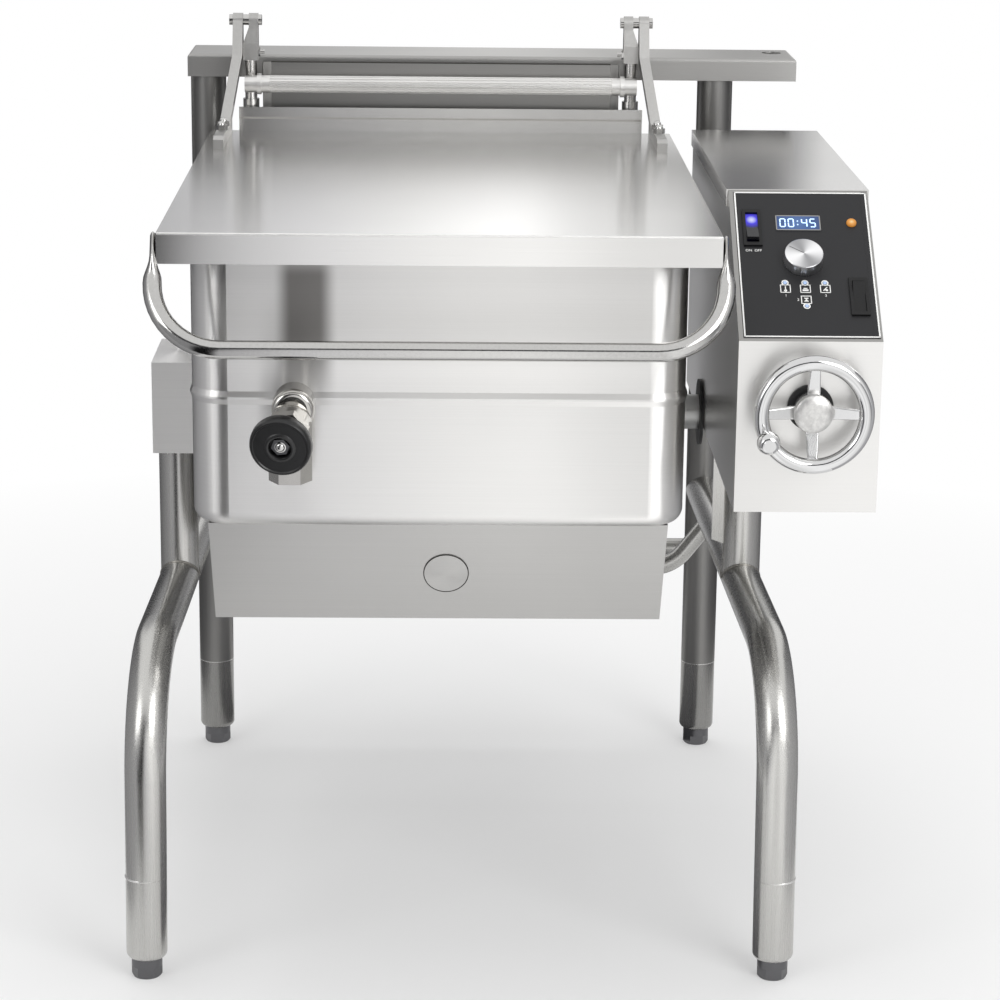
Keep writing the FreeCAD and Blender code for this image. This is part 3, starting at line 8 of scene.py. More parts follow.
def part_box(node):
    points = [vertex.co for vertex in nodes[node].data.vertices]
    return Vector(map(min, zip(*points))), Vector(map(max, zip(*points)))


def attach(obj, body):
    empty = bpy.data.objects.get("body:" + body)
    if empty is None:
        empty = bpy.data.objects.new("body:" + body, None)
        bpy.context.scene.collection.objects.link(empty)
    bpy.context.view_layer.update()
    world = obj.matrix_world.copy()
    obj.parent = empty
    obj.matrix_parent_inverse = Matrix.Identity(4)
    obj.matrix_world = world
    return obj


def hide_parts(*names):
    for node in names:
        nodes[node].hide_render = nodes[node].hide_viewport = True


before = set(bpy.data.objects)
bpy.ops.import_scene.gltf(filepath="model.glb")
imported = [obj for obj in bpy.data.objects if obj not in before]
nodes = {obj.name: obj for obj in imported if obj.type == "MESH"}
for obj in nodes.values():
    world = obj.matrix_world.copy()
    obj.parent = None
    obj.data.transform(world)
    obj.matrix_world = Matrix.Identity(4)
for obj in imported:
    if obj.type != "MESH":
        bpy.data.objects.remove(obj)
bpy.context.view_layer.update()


# Camera: on a tripod at head height, three and a half metres in front of the skillet.
# It looks 15 degrees down through a long 107 mm lens on a 36 mm wide frame.
camera_place = Vector((-0.0668, -3.8374, 1.5313))
look_down = math.radians(14.98)
look_right = math.radians(1.23)
head_roll = math.radians(0.65)

camera_data = bpy.data.cameras.new("studio_camera")
camera_data.sensor_width = 36.0
camera_data.lens = 107.0
camera = bpy.data.objects.new("studio_camera", camera_data)
camera.matrix_world = (
    Matrix.Translation(camera_place)
    @ Matrix.Rotation(-look_right, 4, "Z")
    @ Matrix.Rotation(math.pi / 2 - look_down, 4, "X")
    @ Matrix.Rotation(head_roll, 4, "Z")
)
bpy.context.scene.collection.objects.link(camera)
bpy.context.scene.camera = camera
bpy.context.scene.view_settings.view_transform = "Standard"


# Studio: a white paper sweep, three soft boxes, and grey and dark cards round the set.
# Only polished steel sees the cards, which is how its tubes and folds get their dark edges.
def linear(code):
    parts = [int(code[i : i + 2], 16) / 255 for i in (1, 3, 5)]
    steps = [p / 12.92 if p < 0.04045 else ((p + 0.055) / 1.055) ** 2.4 for p in parts]
    return (*steps, 1.0)


def add(tree, kind, sockets=None, **settings):
    node = tree.nodes.new(kind)
    for name, value in settings.items():
        setattr(node, name, value)
    for name, value in (sockets or {}).items():
        if isinstance(value, bpy.types.NodeSocket):
            tree.links.new(value, node.inputs[name])
        else:
            node.inputs[name].default_value = value
    return node


def new_material(name):
    material = bpy.data.materials.new(name)
    material.use_nodes = True
    material.node_tree.nodes.clear()
    return material, material.node_tree


def seen_directly(tree):
    path = add(tree, "ShaderNodeLightPath")
    either = add(tree, "ShaderNodeMath", {0: path.outputs["Is Camera Ray"],
                                          1: path.outputs["Is Glossy Ray"]}, operation="MAXIMUM")
    return add(tree, "ShaderNodeMath", {0: either.outputs[0],
                                        1: path.outputs["Is Transmission Ray"]},
               operation="MAXIMUM").outputs[0]


white = linear("#FFFFFF")
room_strength = 0.55
studio = bpy.data.worlds.new("studio")
studio.use_nodes = True
studio.node_tree.nodes.clear()
bpy.context.scene.world = studio
room_light = add(studio.node_tree, "ShaderNodeBackground",
                 {"Color": white, "Strength": room_strength})
white_sweep = add(studio.node_tree, "ShaderNodeBackground", {"Color": white, "Strength": 1.0})
world_mix = add(studio.node_tree, "ShaderNodeMixShader",
                {0: seen_directly(studio.node_tree), 1: room_light.outputs[0],
                 2: white_sweep.outputs[0]})
add(studio.node_tree, "ShaderNodeOutputWorld", {"Surface": world_mix.outputs[0]})

# Each soft box: its name, place and target in metres, width, height and watts.
# The top box isn't mirrored, because the level lid would turn plain white under it.
soft_boxes = (
    ("key_box", (1.7, -2.7, 2.1), (0.0, 0.0, 0.6), 1.6, 1.8, 42),
    ("fill_box", (-2.3, -2.3, 1.7), (0.0, 0.0, 0.6), 1.2, 1.6, 14),
    ("top_box", (0.1, 0.3, 3.1), (0.0, 0.1, 0.0), 2.2, 2.2, 42),
)
for name, place, target, width, height, power in soft_boxes:
    lamp = bpy.data.lights.new(name, "AREA")
    lamp.shape = "RECTANGLE"
    lamp.size = width
    lamp.size_y = height
    lamp.energy = power
    box_object = bpy.data.objects.new(name, lamp)
    aim = (Vector(target) - Vector(place)).to_track_quat("-Z", "Y")
    box_object.matrix_world = Matrix.Translation(Vector(place)) @ aim.to_matrix().to_4x4()
    box_object.visible_camera = False
    box_object.visible_glossy = name != "top_box"
    bpy.context.scene.collection.objects.link(box_object)

crease_angle = math.radians(35)


def mesh_object(name, shape, material, body=None, smooth=False):
    mesh = bpy.data.meshes.new(name)
    shape.to_mesh(mesh)
    shape.free()
    if smooth:
        mesh.shade_smooth()
        mesh.set_sharp_from_angle(angle=crease_angle)
    piece = bpy.data.objects.new(name, mesh)
    piece.data.materials.append(material)
    bpy.context.scene.collection.objects.link(piece)
    if body:
        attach(piece, body)
    return piece


# Matt paper: it takes soft shadows near the skillet and fades to white further out.
fade_start = 0.5
fade_end = 2.2
least_white = 0.3
paper_size = 20.0
sweep_paper, tree = new_material("sweep_paper")
paper = add(tree, "ShaderNodeBsdfDiffuse", {"Color": linear("#F2F2F2")})
paper_white = add(tree, "ShaderNodeEmission", {"Color": white, "Strength": 1.0})
where = add(tree, "ShaderNodeTexCoord").outputs["Object"]
distance = add(tree, "ShaderNodeVectorMath", {0: where}, operation="LENGTH")
fade = add(tree, "ShaderNodeMapRange", {"Value": distance.outputs["Value"],
                                        "From Min": fade_start, "From Max": fade_end,
                                        "To Min": least_white, "To Max": 1.0})
share = add(tree, "ShaderNodeMath", {0: fade.outputs[0], 1: seen_directly(tree)},
            operation="MULTIPLY")
shader = add(tree, "ShaderNodeMixShader", {0: share.outputs[0], 1: paper.outputs[0],
                                           2: paper_white.outputs[0]})
add(tree, "ShaderNodeOutputMaterial", {"Surface": shader.outputs[0]})
floor = bmesh.new()
bmesh.ops.create_grid(floor, x_segments=1, y_segments=1, size=paper_size)
mesh_object("floor", floor, sweep_paper)

# Each card: its name, the ends of its lower edge, how far it rises, the axis that its
# tones run along, its strength, and the tones at their places on that axis.
cards = (
    ("front_card", ((-3.0, -0.8, 0.004), (3.0, -0.8, 0.004)), (0.0, -1.8, 1.5), "X", 1.4,
     ((-1.1, "#8A8A8C"), (-0.92, "#8A8A8C"), (-0.8, "#0C0C0D"), (-0.52, "#0C0C0D"),
      (-0.44, "#B0B0B2"), (-0.26, "#D6D6D8"), (-0.05, "#EAEAEA"),
      (0.08, "#F4F4F4"), (0.24, "#DCDCDC"), (0.36, "#DADADA"), (0.5, "#F0F0F0"),
      (1.1, "#D0D0D0"), (1.8, "#8A8A8C"))),
    ("camera_wall", ((-3.0, -4.2, 1.5), (3.0, -4.2, 1.5)), (0.0, 0.0, 1.9), "X", 1.0,
     ((-2.0, "#3A3A3C"), (0.0, "#505052"), (2.0, "#464648"))),
    ("under_card", ((-0.31, -0.42, 0.003), (0.31, -0.42, 0.003)), (0.0, 1.0, 0.0), "X", 1.0,
     ((-0.3, "#5E5E60"), (0.0, "#8A8A8C"), (0.3, "#5E5E60"))),
    ("left_card", ((-0.66, -0.8, 0.004), (-0.66, 1.0, 0.004)), (-1.9, 0.0, 2.3), "Y", 1.1,
     ((-0.8, "#B0B0B2"), (-0.1, "#949496"), (0.3, "#767678"), (1.0, "#505052"))),
    ("right_card", ((0.66, -0.8, 0.004), (0.66, 1.0, 0.004)), (1.9, 0.0, 2.3), "Y", 1.1,
     ((-0.8, "#C4C4C6"), (-0.1, "#A6A6A8"), (0.3, "#808082"), (1.0, "#505052"))),
    ("back_card", ((-2.6, 0.9, 0.004), (2.6, 0.9, 0.004)), (0.0, 2.2, 1.2), "X", 1.0,
     ((-1.2, "#464648"), (-0.06, "#505052"), (0.0, "#C0C0C2"), (0.2, "#C0C0C2"),
      (0.27, "#505052"), (1.2, "#464648"))),
    ("lid_card", ((-2.6, 3.1, 1.2), (2.6, 3.1, 1.2)), (0.0, 0.2, 2.3), "X", 1.55,
     ((-1.0, "#8C8C8E"), (-0.64, "#B0B0B2"), (-0.38, "#CCCCCE"), (-0.16, "#E4E4E4"),
      (0.06, "#FCFCFC"), (0.14, "#FCFCFC"), (0.24, "#E4E4E4"), (0.32, "#D8D8D8"),
      (0.52, "#D0D0D0"), (0.60, "#606062"), (0.72, "#68686A"), (0.84, "#D0D0D0"))),
)
for name, lower_edge, rise, axis, strength, tones in cards:
    card_face, tree = new_material(name)
    where = add(tree, "ShaderNodeSeparateXYZ",
                {0: add(tree, "ShaderNodeTexCoord").outputs["Object"]})
    first, last = tones[0][0], tones[-1][0]
    across = add(tree, "ShaderNodeMapRange", {"Value": where.outputs[axis], "From Min": first,
                                              "From Max": last})
    graded = add(tree, "ShaderNodeValToRGB", {"Fac": across.outputs[0]})
    stops = graded.color_ramp.elements
    stops[0].color = linear(tones[0][1])
    stops[1].color = linear(tones[-1][1])
    for reach, code in tones[1:-1]:
        stops.new((reach - first) / (last - first)).color = linear(code)
    shader = add(tree, "ShaderNodeEmission", {"Color": graded.outputs[0], "Strength": strength})
    add(tree, "ShaderNodeOutputMaterial", {"Surface": shader.outputs[0]})
    card = bmesh.new()
    foot = card.edges.new([card.verts.new(corner) for corner in lower_edge])
    sheet = bmesh.ops.extrude_edge_only(card, edges=[foot])
    raised = [v for v in sheet["geom"] if isinstance(v, bmesh.types.BMVert)]
    bmesh.ops.translate(card, verts=raised, vec=rise)
    card_object = mesh_object(name, card, card_face)
    card_object.visible_camera = False
    card_object.visible_diffuse = False
    card_object.visible_shadow = False


# Leg frame: bent and welded 304 stainless tube, 51 mm across, belt-polished to satin.
# Posts are coped onto the rails and fillet-welded all round.
def dress(material, *names):
    for name in names:
        for slot in nodes[name].material_slots:
            slot.material = material


# Worked metal: grain gives the cells of its noise per metre along x, y and z. Real brush
# and belt lines are a tenth of a millimetre wide, and are drawn 1 to 2 mm wide to show.
grain_height = 0.0002
cloud_scale = 5.0


def stainless(name, code, roughness, grain, relief, anisotropy=0.0, around="Z", turned=0.0,
              wear=0.07, spread=0.028):
    material, tree = new_material(name)
    where = add(tree, "ShaderNodeTexCoord").outputs["Object"]
    along = add(tree, "ShaderNodeMapping", {"Vector": where, "Scale": grain})
    lines = add(tree, "ShaderNodeTexNoise", {"Vector": along.outputs[0], "Scale": 1.0,
                                             "Detail": 3.0, "Roughness": 0.6})
    cloud = add(tree, "ShaderNodeTexNoise", {"Vector": where, "Scale": cloud_scale,
                                             "Detail": 2.0})
    mottle = add(tree, "ShaderNodeMath", {0: cloud.outputs[0], 1: lines.outputs[0]})
    tone = add(tree, "ShaderNodeMapRange", {"Value": mottle.outputs[0], "From Min": 0.7,
                                            "From Max": 1.3})
    shade = add(tree, "ShaderNodeMix", {"Factor": tone.outputs[0]}, data_type="RGBA")
    base = Vector(linear(code)[:3])
    shade.inputs[6].default_value = (*(base * (1.0 - wear)), 1.0)
    shade.inputs[7].default_value = (*(base * (1.0 + wear / 2)), 1.0)
    rough = add(tree, "ShaderNodeMapRange", {"Value": lines.outputs[0], "From Min": 0.3,
                                             "From Max": 0.7, "To Min": roughness - spread,
                                             "To Max": roughness + spread})
    scored = add(tree, "ShaderNodeBump", {"Height": lines.outputs[0], "Strength": relief,
                                          "Distance": grain_height})
    shader = add(tree, "ShaderNodeBsdfPrincipled",
                 {"Base Color": shade.outputs[2], "Metallic": 1.0,
                  "Roughness": rough.outputs[0], "Normal": scored.outputs[0],
                  "Anisotropic": anisotropy, "Anisotropic Rotation": turned})
    if anisotropy:
        lay = add(tree, "ShaderNodeTangent", direction_type="RADIAL", axis=around)
        tree.links.new(lay.outputs[0], shader.inputs["Tangent"])
    add(tree, "ShaderNodeOutputMaterial", {"Surface": shader.outputs[0]})
    return material


def shader_of(material):
    return next(node for node in material.node_tree.nodes if node.type == "BSDF_PRINCIPLED")


# Satin tube: long streaks, with a highlight drawn out along it.
upright_grain = (500, 500, 7)
upright_tube = stainless("satin_polished_tube", "#C8C7C4", 0.27, upright_grain, 0.012, 0.5,
                         turned=0.25, wear=0.06)
dress(upright_tube, "side_frame_left", "side_frame_right", "mid_post_left", "mid_post_right")

# Leg ends: the same satin, with painted shade that darkens the rear pair like the legs that it
# ends.
shade_start_y = -0.2
shade_full_y = 0.3
rear_shade_factor = 0.55
sleeve_tube = stainless("ground_leg_ends_painted_shade", "#C8C7C4", 0.27, upright_grain, 0.012, 0.5,
                        turned=0.25, wear=0.06)
tree = sleeve_tube.node_tree
shader = shader_of(sleeve_tube)
depth = add(tree, "ShaderNodeSeparateXYZ", {0: add(tree, "ShaderNodeTexCoord").outputs["Object"]})
# Painted shade: the base colour darkens from front to back.
rear_shade_ramp = add(tree, "ShaderNodeMapRange", {"Value": depth.outputs["Y"],
                                          "From Min": shade_start_y, "From Max": shade_full_y,
                                          "To Min": 1.0, "To Max": rear_shade_factor})
shaded_base = add(tree, "ShaderNodeVectorMath",
             {0: shader.inputs["Base Color"].links[0].from_socket, "Scale": rear_shade_ramp.outputs[0]},
             operation="SCALE")
tree.links.new(shaded_base.outputs[0], shader.inputs["Base Color"])
dress(sleeve_tube, "leg_ends")

# Rear legs: painted shade, greyer and softer than the polished front, for the pan's shade over
# them.
painted_shade_rear_tube = stainless("rear_tube_painted_shade", "#908F8D", 0.40, upright_grain, 0.012, 0.3,
                      turned=0.25, wear=0.06)
dress(painted_shade_rear_tube, "rear_leg_left", "rear_leg_right")

# Satin tube that lies across: its streaks run from side to side.
cross_tube = stainless("satin_cross_tube", "#BDBCB9", 0.28, (7, 500, 500), 0.05)
dress(cross_tube, "rear_cross_rail", "curved_brace")

# Fillet weld: dull ripples of cooled steel, 2 to 3 mm apart.
weld_metal, tree = new_material("fillet_weld")
where = add(tree, "ShaderNodeTexCoord").outputs["Object"]
ripple = add(tree, "ShaderNodeTexNoise", {"Vector": where, "Scale": 420.0, "Detail": 2.0})
rippled = add(tree, "ShaderNodeBump", {"Height": ripple.outputs[0], "Strength": 0.5,
                                       "Distance": 0.0008})
shader = add(tree, "ShaderNodeBsdfPrincipled",
             {"Base Color": linear("#A9A6A0"), "Metallic": 1.0, "Roughness": 0.34,
              "Normal": rippled.outputs[0]})
add(tree, "ShaderNodeOutputMaterial", {"Surface": shader.outputs[0]})

leg_middle = Vector((-0.0360, -0.40855, 0.0))
rail_height = 0.400
leg_radius = 0.0254
post_reach = 0.3760
post_back = 0.402
bead = 0.0016
round_turns = [math.radians(5 * step) for step in range(72)]


def weld_seam(name, points, thickness, metal, closed=True, body="frame"):
    line = bpy.data.curves.new(name, "CURVE")
    line.dimensions = "3D"
    line.bevel_depth = thickness
    line.bevel_resolution = 3
    line.use_fill_caps = True
    spline = line.splines.new("POLY")
    spline.points.add(len(points) - 1)
    for point, at in zip(spline.points, points):
        point.co = (*at, 1.0)
    spline.use_cyclic_u = closed
    seam = bpy.data.objects.new(name, line)
    line.materials.append(metal)
    bpy.context.scene.collection.objects.link(seam)
    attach(seam, body)


for side, label in ((-1, "left"), (1, "right")):
    seam = []
    for turn in round_turns:
        across = leg_radius * math.cos(turn)
        drop = math.sqrt(max(leg_radius**2 - across**2, 0.0))
        seam.append(leg_middle + Vector((side * post_reach + across,
                                         post_back + leg_radius * math.sin(turn),
                                         rail_height + drop)))
    weld_seam("post_weld_" + label, seam, bead, weld_metal)

# Ground seam: the flushed joint above each leg end, a thin bright ring just proud of it.
sleeve_top = 0.132
seam_sink = 0.00156
seam_radius = leg_radius - seam_sink
seam_metal = stainless("ground_seam", "#F4F3F1", 0.30, (300, 300, 300), 0.02)
for corner in ("front_left", "front_right", "rear_left", "rear_right"):
    foot_low, foot_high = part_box("foot_" + corner)
    middle = (foot_low + foot_high) / 2
    seam = [Vector((middle.x + seam_radius * math.cos(turn),
                    middle.y + seam_radius * math.sin(turn), sleeve_top))
            for turn in round_turns]
    weld_seam("sleeve_seam_" + corner, seam, bead, seam_metal)


# Levelling feet: turned steel, zinc-blackened, hexagonal at the bottom for a spanner.
# They screw into the leg ends, and show dark with a faint sheen and scuffs on the flats.
blackened, tree = new_material("blackened_steel")
where = add(tree, "ShaderNodeTexCoord").outputs["Object"]
scuff = add(tree, "ShaderNodeTexNoise", {"Vector": where, "Scale": 160.0, "Detail": 4.0})
rough = add(tree, "ShaderNodeMapRange", {"Value": scuff.outputs[0], "To Min": 0.25,
                                         "To Max": 0.5})
shader = add(tree, "ShaderNodeBsdfPrincipled",
             {"Base Color": linear("#6E6E70"), "Metallic": 1.0, "Roughness": rough.outputs[0]})
add(tree, "ShaderNodeOutputMaterial", {"Surface": shader.outputs[0]})
dress(blackened, "foot_front_left", "foot_front_right", "foot_rear_left", "foot_rear_right")


# Faucet beam: a channel folded from 2 mm brushed stainless sheet, open below and welded
# onto the rear legs. It was brushed from end to end, so highlights spread across it.
beam_sheet = stainless("beam_brushed_sheet", "#AFAEAC", 0.42, (6, 900, 900), 0.006, 0.6,
                       around="X", wear=0.05, spread=0.01)
dress(beam_sheet, "top_beam")


# Pan: a drawn jacket with the thick cooking vessel welded into its rim, both of 304 sheet.
# It was brushed level, so its walls smear light upwards and show no seams.
level_grain = (4, 4, 900)
wall_sheet = stainless("pan_brushed_sheet", "#EEEDEB", 0.33, level_grain, 0.004, 1.0,
                       turned=0.25, wear=0.03, spread=0.012)

# Painted reflection: a soft dark brown patch is painted on the front wall above the valve,
# strongest near the rim, for the dark valve's reflection.
# Each row fades it in along one axis, from clear to full.
painted_reflection_edges = (("X", -0.262, -0.240), ("X", -0.184, -0.208), ("Z", 0.700, 0.820),
              ("Z", 0.925, 0.885), ("Y", -0.36, -0.38))
painted_reflection_share = 0.78
tree = wall_sheet.node_tree
shader = shader_of(wall_sheet)
where = add(tree, "ShaderNodeSeparateXYZ", {0: add(tree, "ShaderNodeTexCoord").outputs["Object"]})
painted_reflection_mask = None
for axis, clear, full in painted_reflection_edges:
    fade = add(tree, "ShaderNodeMapRange", {"Value": where.outputs[axis], "From Min": clear,
                                            "From Max": full}, interpolation_type="SMOOTHSTEP")
    painted_reflection_mask = fade if painted_reflection_mask is None else add(tree, "ShaderNodeMath",
                                         {0: painted_reflection_mask.outputs[0], 1: fade.outputs[0]},
                                         operation="MULTIPLY")
share = add(tree, "ShaderNodeMath", {0: painted_reflection_mask.outputs[0], 1: painted_reflection_share}, operation="MULTIPLY")
# Mixes the painted reflection's dark colour into the wall's base colour.
painted_reflection_mix = add(tree, "ShaderNodeMix", {"Factor": share.outputs[0]}, data_type="RGBA")
tree.links.new(shader.inputs["Base Color"].links[0].from_socket, painted_reflection_mix.inputs[6])
painted_reflection_mix.inputs[7].default_value = linear("#4E4A46")
tree.links.new(painted_reflection_mix.outputs[2], shader.inputs["Base Color"])
dress(wall_sheet, "pan_jacket", "pan_vessel")


# Lower housing: a folded sheet shroud under the pan, screwed up into it, with a punched
# knockout left in its front. Its level brushing is greyer than the pan's.
housing_sheet = stainless("housing_sheet", "#C0BFBD", 0.33, level_grain, 0.006, 0.6,
                          turned=0.25, wear=0.04, spread=0.012)
dress(housing_sheet, "shroud", "knockout_disc")

# Punched edge: dark oxide in the thin groove round the knockout.
groove_oxide = stainless("punched_edge_oxide", "#4A4947", 0.5, (200, 200, 200), 0.1)
disc_low, disc_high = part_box("knockout_disc")
disc_lean = math.atan2(0.045, 0.132)
disc_radius = 0.0270
groove_half_width = 0.0006
disc_face = Vector(((disc_low.x + disc_high.x) / 2,
                    disc_low.y + disc_radius * math.sin(disc_lean),
                    (disc_low.z + disc_high.z) / 2))
groove = []
for turn in round_turns:
    up = disc_radius * math.sin(turn)
    groove.append(disc_face + Vector((disc_radius * math.cos(turn), -up * math.sin(disc_lean),
                                      up * math.cos(disc_lean))))
weld_seam("disc_edge", groove, groove_half_width, groove_oxide, body="pan")


# Heating elements: bent tubular rods clamped under the vessel floor by two bars.
# Their steel sheath is dull and grey-brown from heat.
element_sheath = stainless("element_sheath", "#6E6A63", 0.42, (300, 300, 300), 0.2)
dress(element_sheath, "heating_elements")


# Tilt drive: trunnions that turn in bushed housings on the mid posts, and a worm that
# meshes with a toothed sector on the right one. All are machined, bright with tool lines.
machined = stainless("machined_steel", "#A7A7A6", 0.32, (500, 500, 500), 0.15)
dress(machined, "trunnion_left", "trunnion_right", "worm_sector", "sector_nut", "worm_shaft",
      "worm_bracket", "bearing_housing_left", "bearing_housing_right", "valve_plug")

# Bearing bronze: warm brown with fine turning lines.
bronze = stainless("bearing_bronze", "#B5813F", 0.35, (400, 400, 400), 0.12)
dress(bronze, "bronze_bushes")

# Bearing box: brushed sheet folded over the left bearing, paler and softer than the pan.
box_sheet = stainless("bearing_box_sheet", "#FAF9F7", 0.42, level_grain, 0.008, 0.5,
                      turned=0.25, wear=0.04, spread=0.012)
dress(box_sheet, "bearing_box_left")

# Moulded rubber: nearly black and dull. Its pores are drawn 1 mm apart, so that they show.
seal_rubber, tree = new_material("moulded_rubber")
where = add(tree, "ShaderNodeTexCoord").outputs["Object"]
pores = add(tree, "ShaderNodeTexNoise", {"Vector": where, "Scale": 900.0, "Detail": 2.0})
pitted = add(tree, "ShaderNodeBump", {"Height": pores.outputs[0], "Strength": 0.15,
                                      "Distance": 0.0003})
shader = add(tree, "ShaderNodeBsdfPrincipled",
             {"Base Color": linear("#232324"), "Roughness": 0.5, "Normal": pitted.outputs[0]})
add(tree, "ShaderNodeOutputMaterial", {"Surface": shader.outputs[0]})
dress(seal_rubber, "trunnion_seal", "shaft_grommet")


# Lid: one shallow tray of brushed sheet, folded down at its edges, with a rear upstand.
# Its grain runs from side to side, and it mirrors the upstand and arms softly.
lid_sheet = stainless("lid_brushed_sheet", "#E2E1DF", 0.18, (4, 900, 900), 0.01, 0.8,
                      around="X", wear=0.04, spread=0.012)
dress(lid_sheet, "lid_shell")

# Polished fold: the outside of the front bend catches the light as one bright line.
fold_bright = stainless("polished_fold", "#F6F5F3", 0.34, (300, 300, 300), 0.004)
lid_low, lid_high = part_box("lid_shell")
lid_top = 0.941
fold_inset = 0.001
fold_y = lid_low.y + fold_inset
fold_z = lid_top - fold_inset
weld_seam("lid_front_fold", [Vector((lid_low.x + fold_inset, fold_y, fold_z)),
                             Vector((lid_high.x - fold_inset, fold_y, fold_z))],
          bead, fold_bright, closed=False, body="lid")


def ring_edges(verts):
    return list(dict.fromkeys(edge for vert in verts for edge in vert.link_edges))


# Lift handle: a 22 mm polished tube bent round the lid's front, its ends pressed flat
# into straps that are welded to the lid's sides. It has bright lines with dark edges.
polished_bar = stainless("polished_bar", "#C4C3C1", 0.13, (300, 300, 300), 0.03)
handle_radius = 0.0111
handle_corner = 0.080
strap_half_width = 0.0150
strap_half_thickness = 0.0040
handle_middle = (lid_low.x + lid_high.x) / 2
handle_reach = (lid_high.x - lid_low.x) / 2 + strap_half_thickness
strap_inset = 0.016
handle_root = Vector((0.0, lid_low.y + strap_inset, lid_top - strap_inset))
handle_drop = Vector((0.0, -0.065, -0.110))
down = handle_drop.normalized()
flat_way = Vector((1.0, 0.0, 0.0)).cross(down)
strap_end = Vector((-handle_reach, 0.0, 0.0)) + handle_root
# Distance down the strap, and its width and thickness as shares of the flat strap's.
stations = [(-0.0112, 0.80, 0.55), (-0.0100, 0.95, 0.80), (-0.0080, 1.0, 1.0),
            (0.016, 1.0, 1.0), (0.023, 0.96, 1.18), (0.029, 0.89, 1.62),
            (0.035, 0.81, 2.18), (0.041, 0.757, 2.62)]
rings = [(strap_end + down * along, down, strap_half_width * wide, strap_half_thickness * thick)
         for along, wide, thick in stations]
corner_start = strap_end + handle_drop - down * handle_corner
corner_centre = corner_start + Vector((handle_corner, 0.0, 0.0))
corner_steps = 12
for step in range(corner_steps + 1):
    turn = math.radians(90.0 / corner_steps * step)
    spot = (corner_centre - Vector((handle_corner * math.cos(turn), 0.0, 0.0))
            + down * handle_corner * math.sin(turn))
    heading = down * math.cos(turn) + Vector((math.sin(turn), 0.0, 0.0))
    rings.append((spot, heading, handle_radius, handle_radius))
mirror_x = Vector((-1.0, 1.0, 1.0))
rings += [(spot * mirror_x, Vector((heading.x, -heading.y, -heading.z)), wide, thick)
          for spot, heading, wide, thick in reversed(rings)]
handle = bmesh.new()
last_loop = None
for number, (spot, heading, wide, thick) in enumerate(rings):
    side_way = heading.cross(flat_way).normalized()
    place = Matrix.Translation(spot + Vector((handle_middle, 0.0, 0.0)))
    turn = Matrix((flat_way * wide, side_way * thick, heading)).transposed().to_4x4()
    at_end = number in (0, len(rings) - 1)
    made = bmesh.ops.create_circle(handle, cap_ends=at_end, segments=28, radius=1.0,
                                   matrix=place @ turn)
    loop = ring_edges(made["verts"])
    if last_loop:
        bmesh.ops.bridge_loops(handle, edges=last_loop + loop)
    last_loop = loop
bmesh.ops.recalc_face_normals(handle, faces=handle.faces)
lift_handle = mesh_object("lift_handle", handle, polished_bar, "lid", True)
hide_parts("lid_handle")


# Lid hinge: cast arms bolted to the lid swing on pins in the heads of two posts, which
# stand in sockets welded to the pan's rear wall.
# Cast arms: grey, with the fine pitting of the mould left on them.
arm_plate = stainless("cast_arm", "#BDBCBA", 0.40, (260, 260, 260), 0.22)
dress(arm_plate, "lid_arms", "hinge_heads")

# Bright nuts and pins: turned and polished, with small hard highlights.
bright_nut = stainless("bright_nut", "#CDCCCA", 0.12, (300, 300, 300), 0.03)
dress(bright_nut, "arm_nuts", "hinge_pins", "hinge_spacers")

# Ground posts: smooth bar with a clear highlight.
post_steel = stainless("ground_post", "#C6C5C3", 0.22, (300, 300, 300), 0.03)
dress(post_steel, "hinge_posts", "hinge_sockets")


# Spring tube: a drawn, fluted tube between the posts, held by a collar at each end.
# Its flutes show as fine light and dark lines along a soft satin.
spring_steel = stainless("drawn_tube", "#E6E5E3", 0.36, (8, 700, 700), 0.015, spread=0.01)
dress(spring_steel, "spring_tube")


# Splash panel: 1.5 mm sheet between the hinge posts, behind the spring tube. Its edges are
# folded forward for stiffness, and tabs at its foot are welded to the post sockets.
panel_sheet = stainless("splash_panel_sheet", "#9E9D9B", 0.32, (6, 900, 900), 0.006, 0.5,
                        around="X", wear=0.05, spread=0.01)
post_low, post_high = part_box("hinge_posts")
post_middle = (post_low.x + post_high.x) / 2
post_clearance = 0.0255
panel_reach = (post_high.x - post_low.x) / 2 - post_clearance
web_setback = 0.005
web_back = (post_low.y + post_high.y) / 2 + web_setback
fold_width = 0.0115
fold_depth = 0.0070
panel_foot = 0.905
panel_top = 1.0365
tab_top = 0.950
tab_width = 0.022
tab_inset = 0.001
panel_gauge = 0.0015
panel = bmesh.new()
outline = [(-panel_reach, -fold_depth), (fold_width - panel_reach, 0.0),
           (panel_reach - fold_width, 0.0), (panel_reach, -fold_depth)]
foot = [panel.verts.new((post_middle + across, web_back + forward, panel_foot))
        for across, forward in outline]
edges = [panel.edges.new(pair) for pair in zip(foot, foot[1:])]
sheet = bmesh.ops.extrude_edge_only(panel, edges=edges)
raised = [v for v in sheet["geom"] if isinstance(v, bmesh.types.BMVert)]
bmesh.ops.translate(panel, verts=raised, vec=(0.0, 0.0, panel_top - panel_foot))
for side in (-1, 1):
    tab = bmesh.ops.create_grid(panel, x_segments=1, y_segments=1, size=0.5)
    tab_middle = Vector((post_middle + side * (panel_reach - tab_inset), web_back,
                         (panel_foot + tab_top) / 2))
    bmesh.ops.transform(panel, verts=tab["verts"],
                        matrix=Matrix.Translation(tab_middle)
                        @ Matrix.Rotation(math.pi / 2, 4, "X")
                        @ Matrix.Diagonal((tab_width, tab_top - panel_foot, 1, 1)))
splash_panel = mesh_object("splash_panel", panel, panel_sheet, "pan")
gauge = splash_panel.modifiers.new("gauge", "SOLIDIFY")
gauge.thickness = panel_gauge
gauge.offset = 0.0

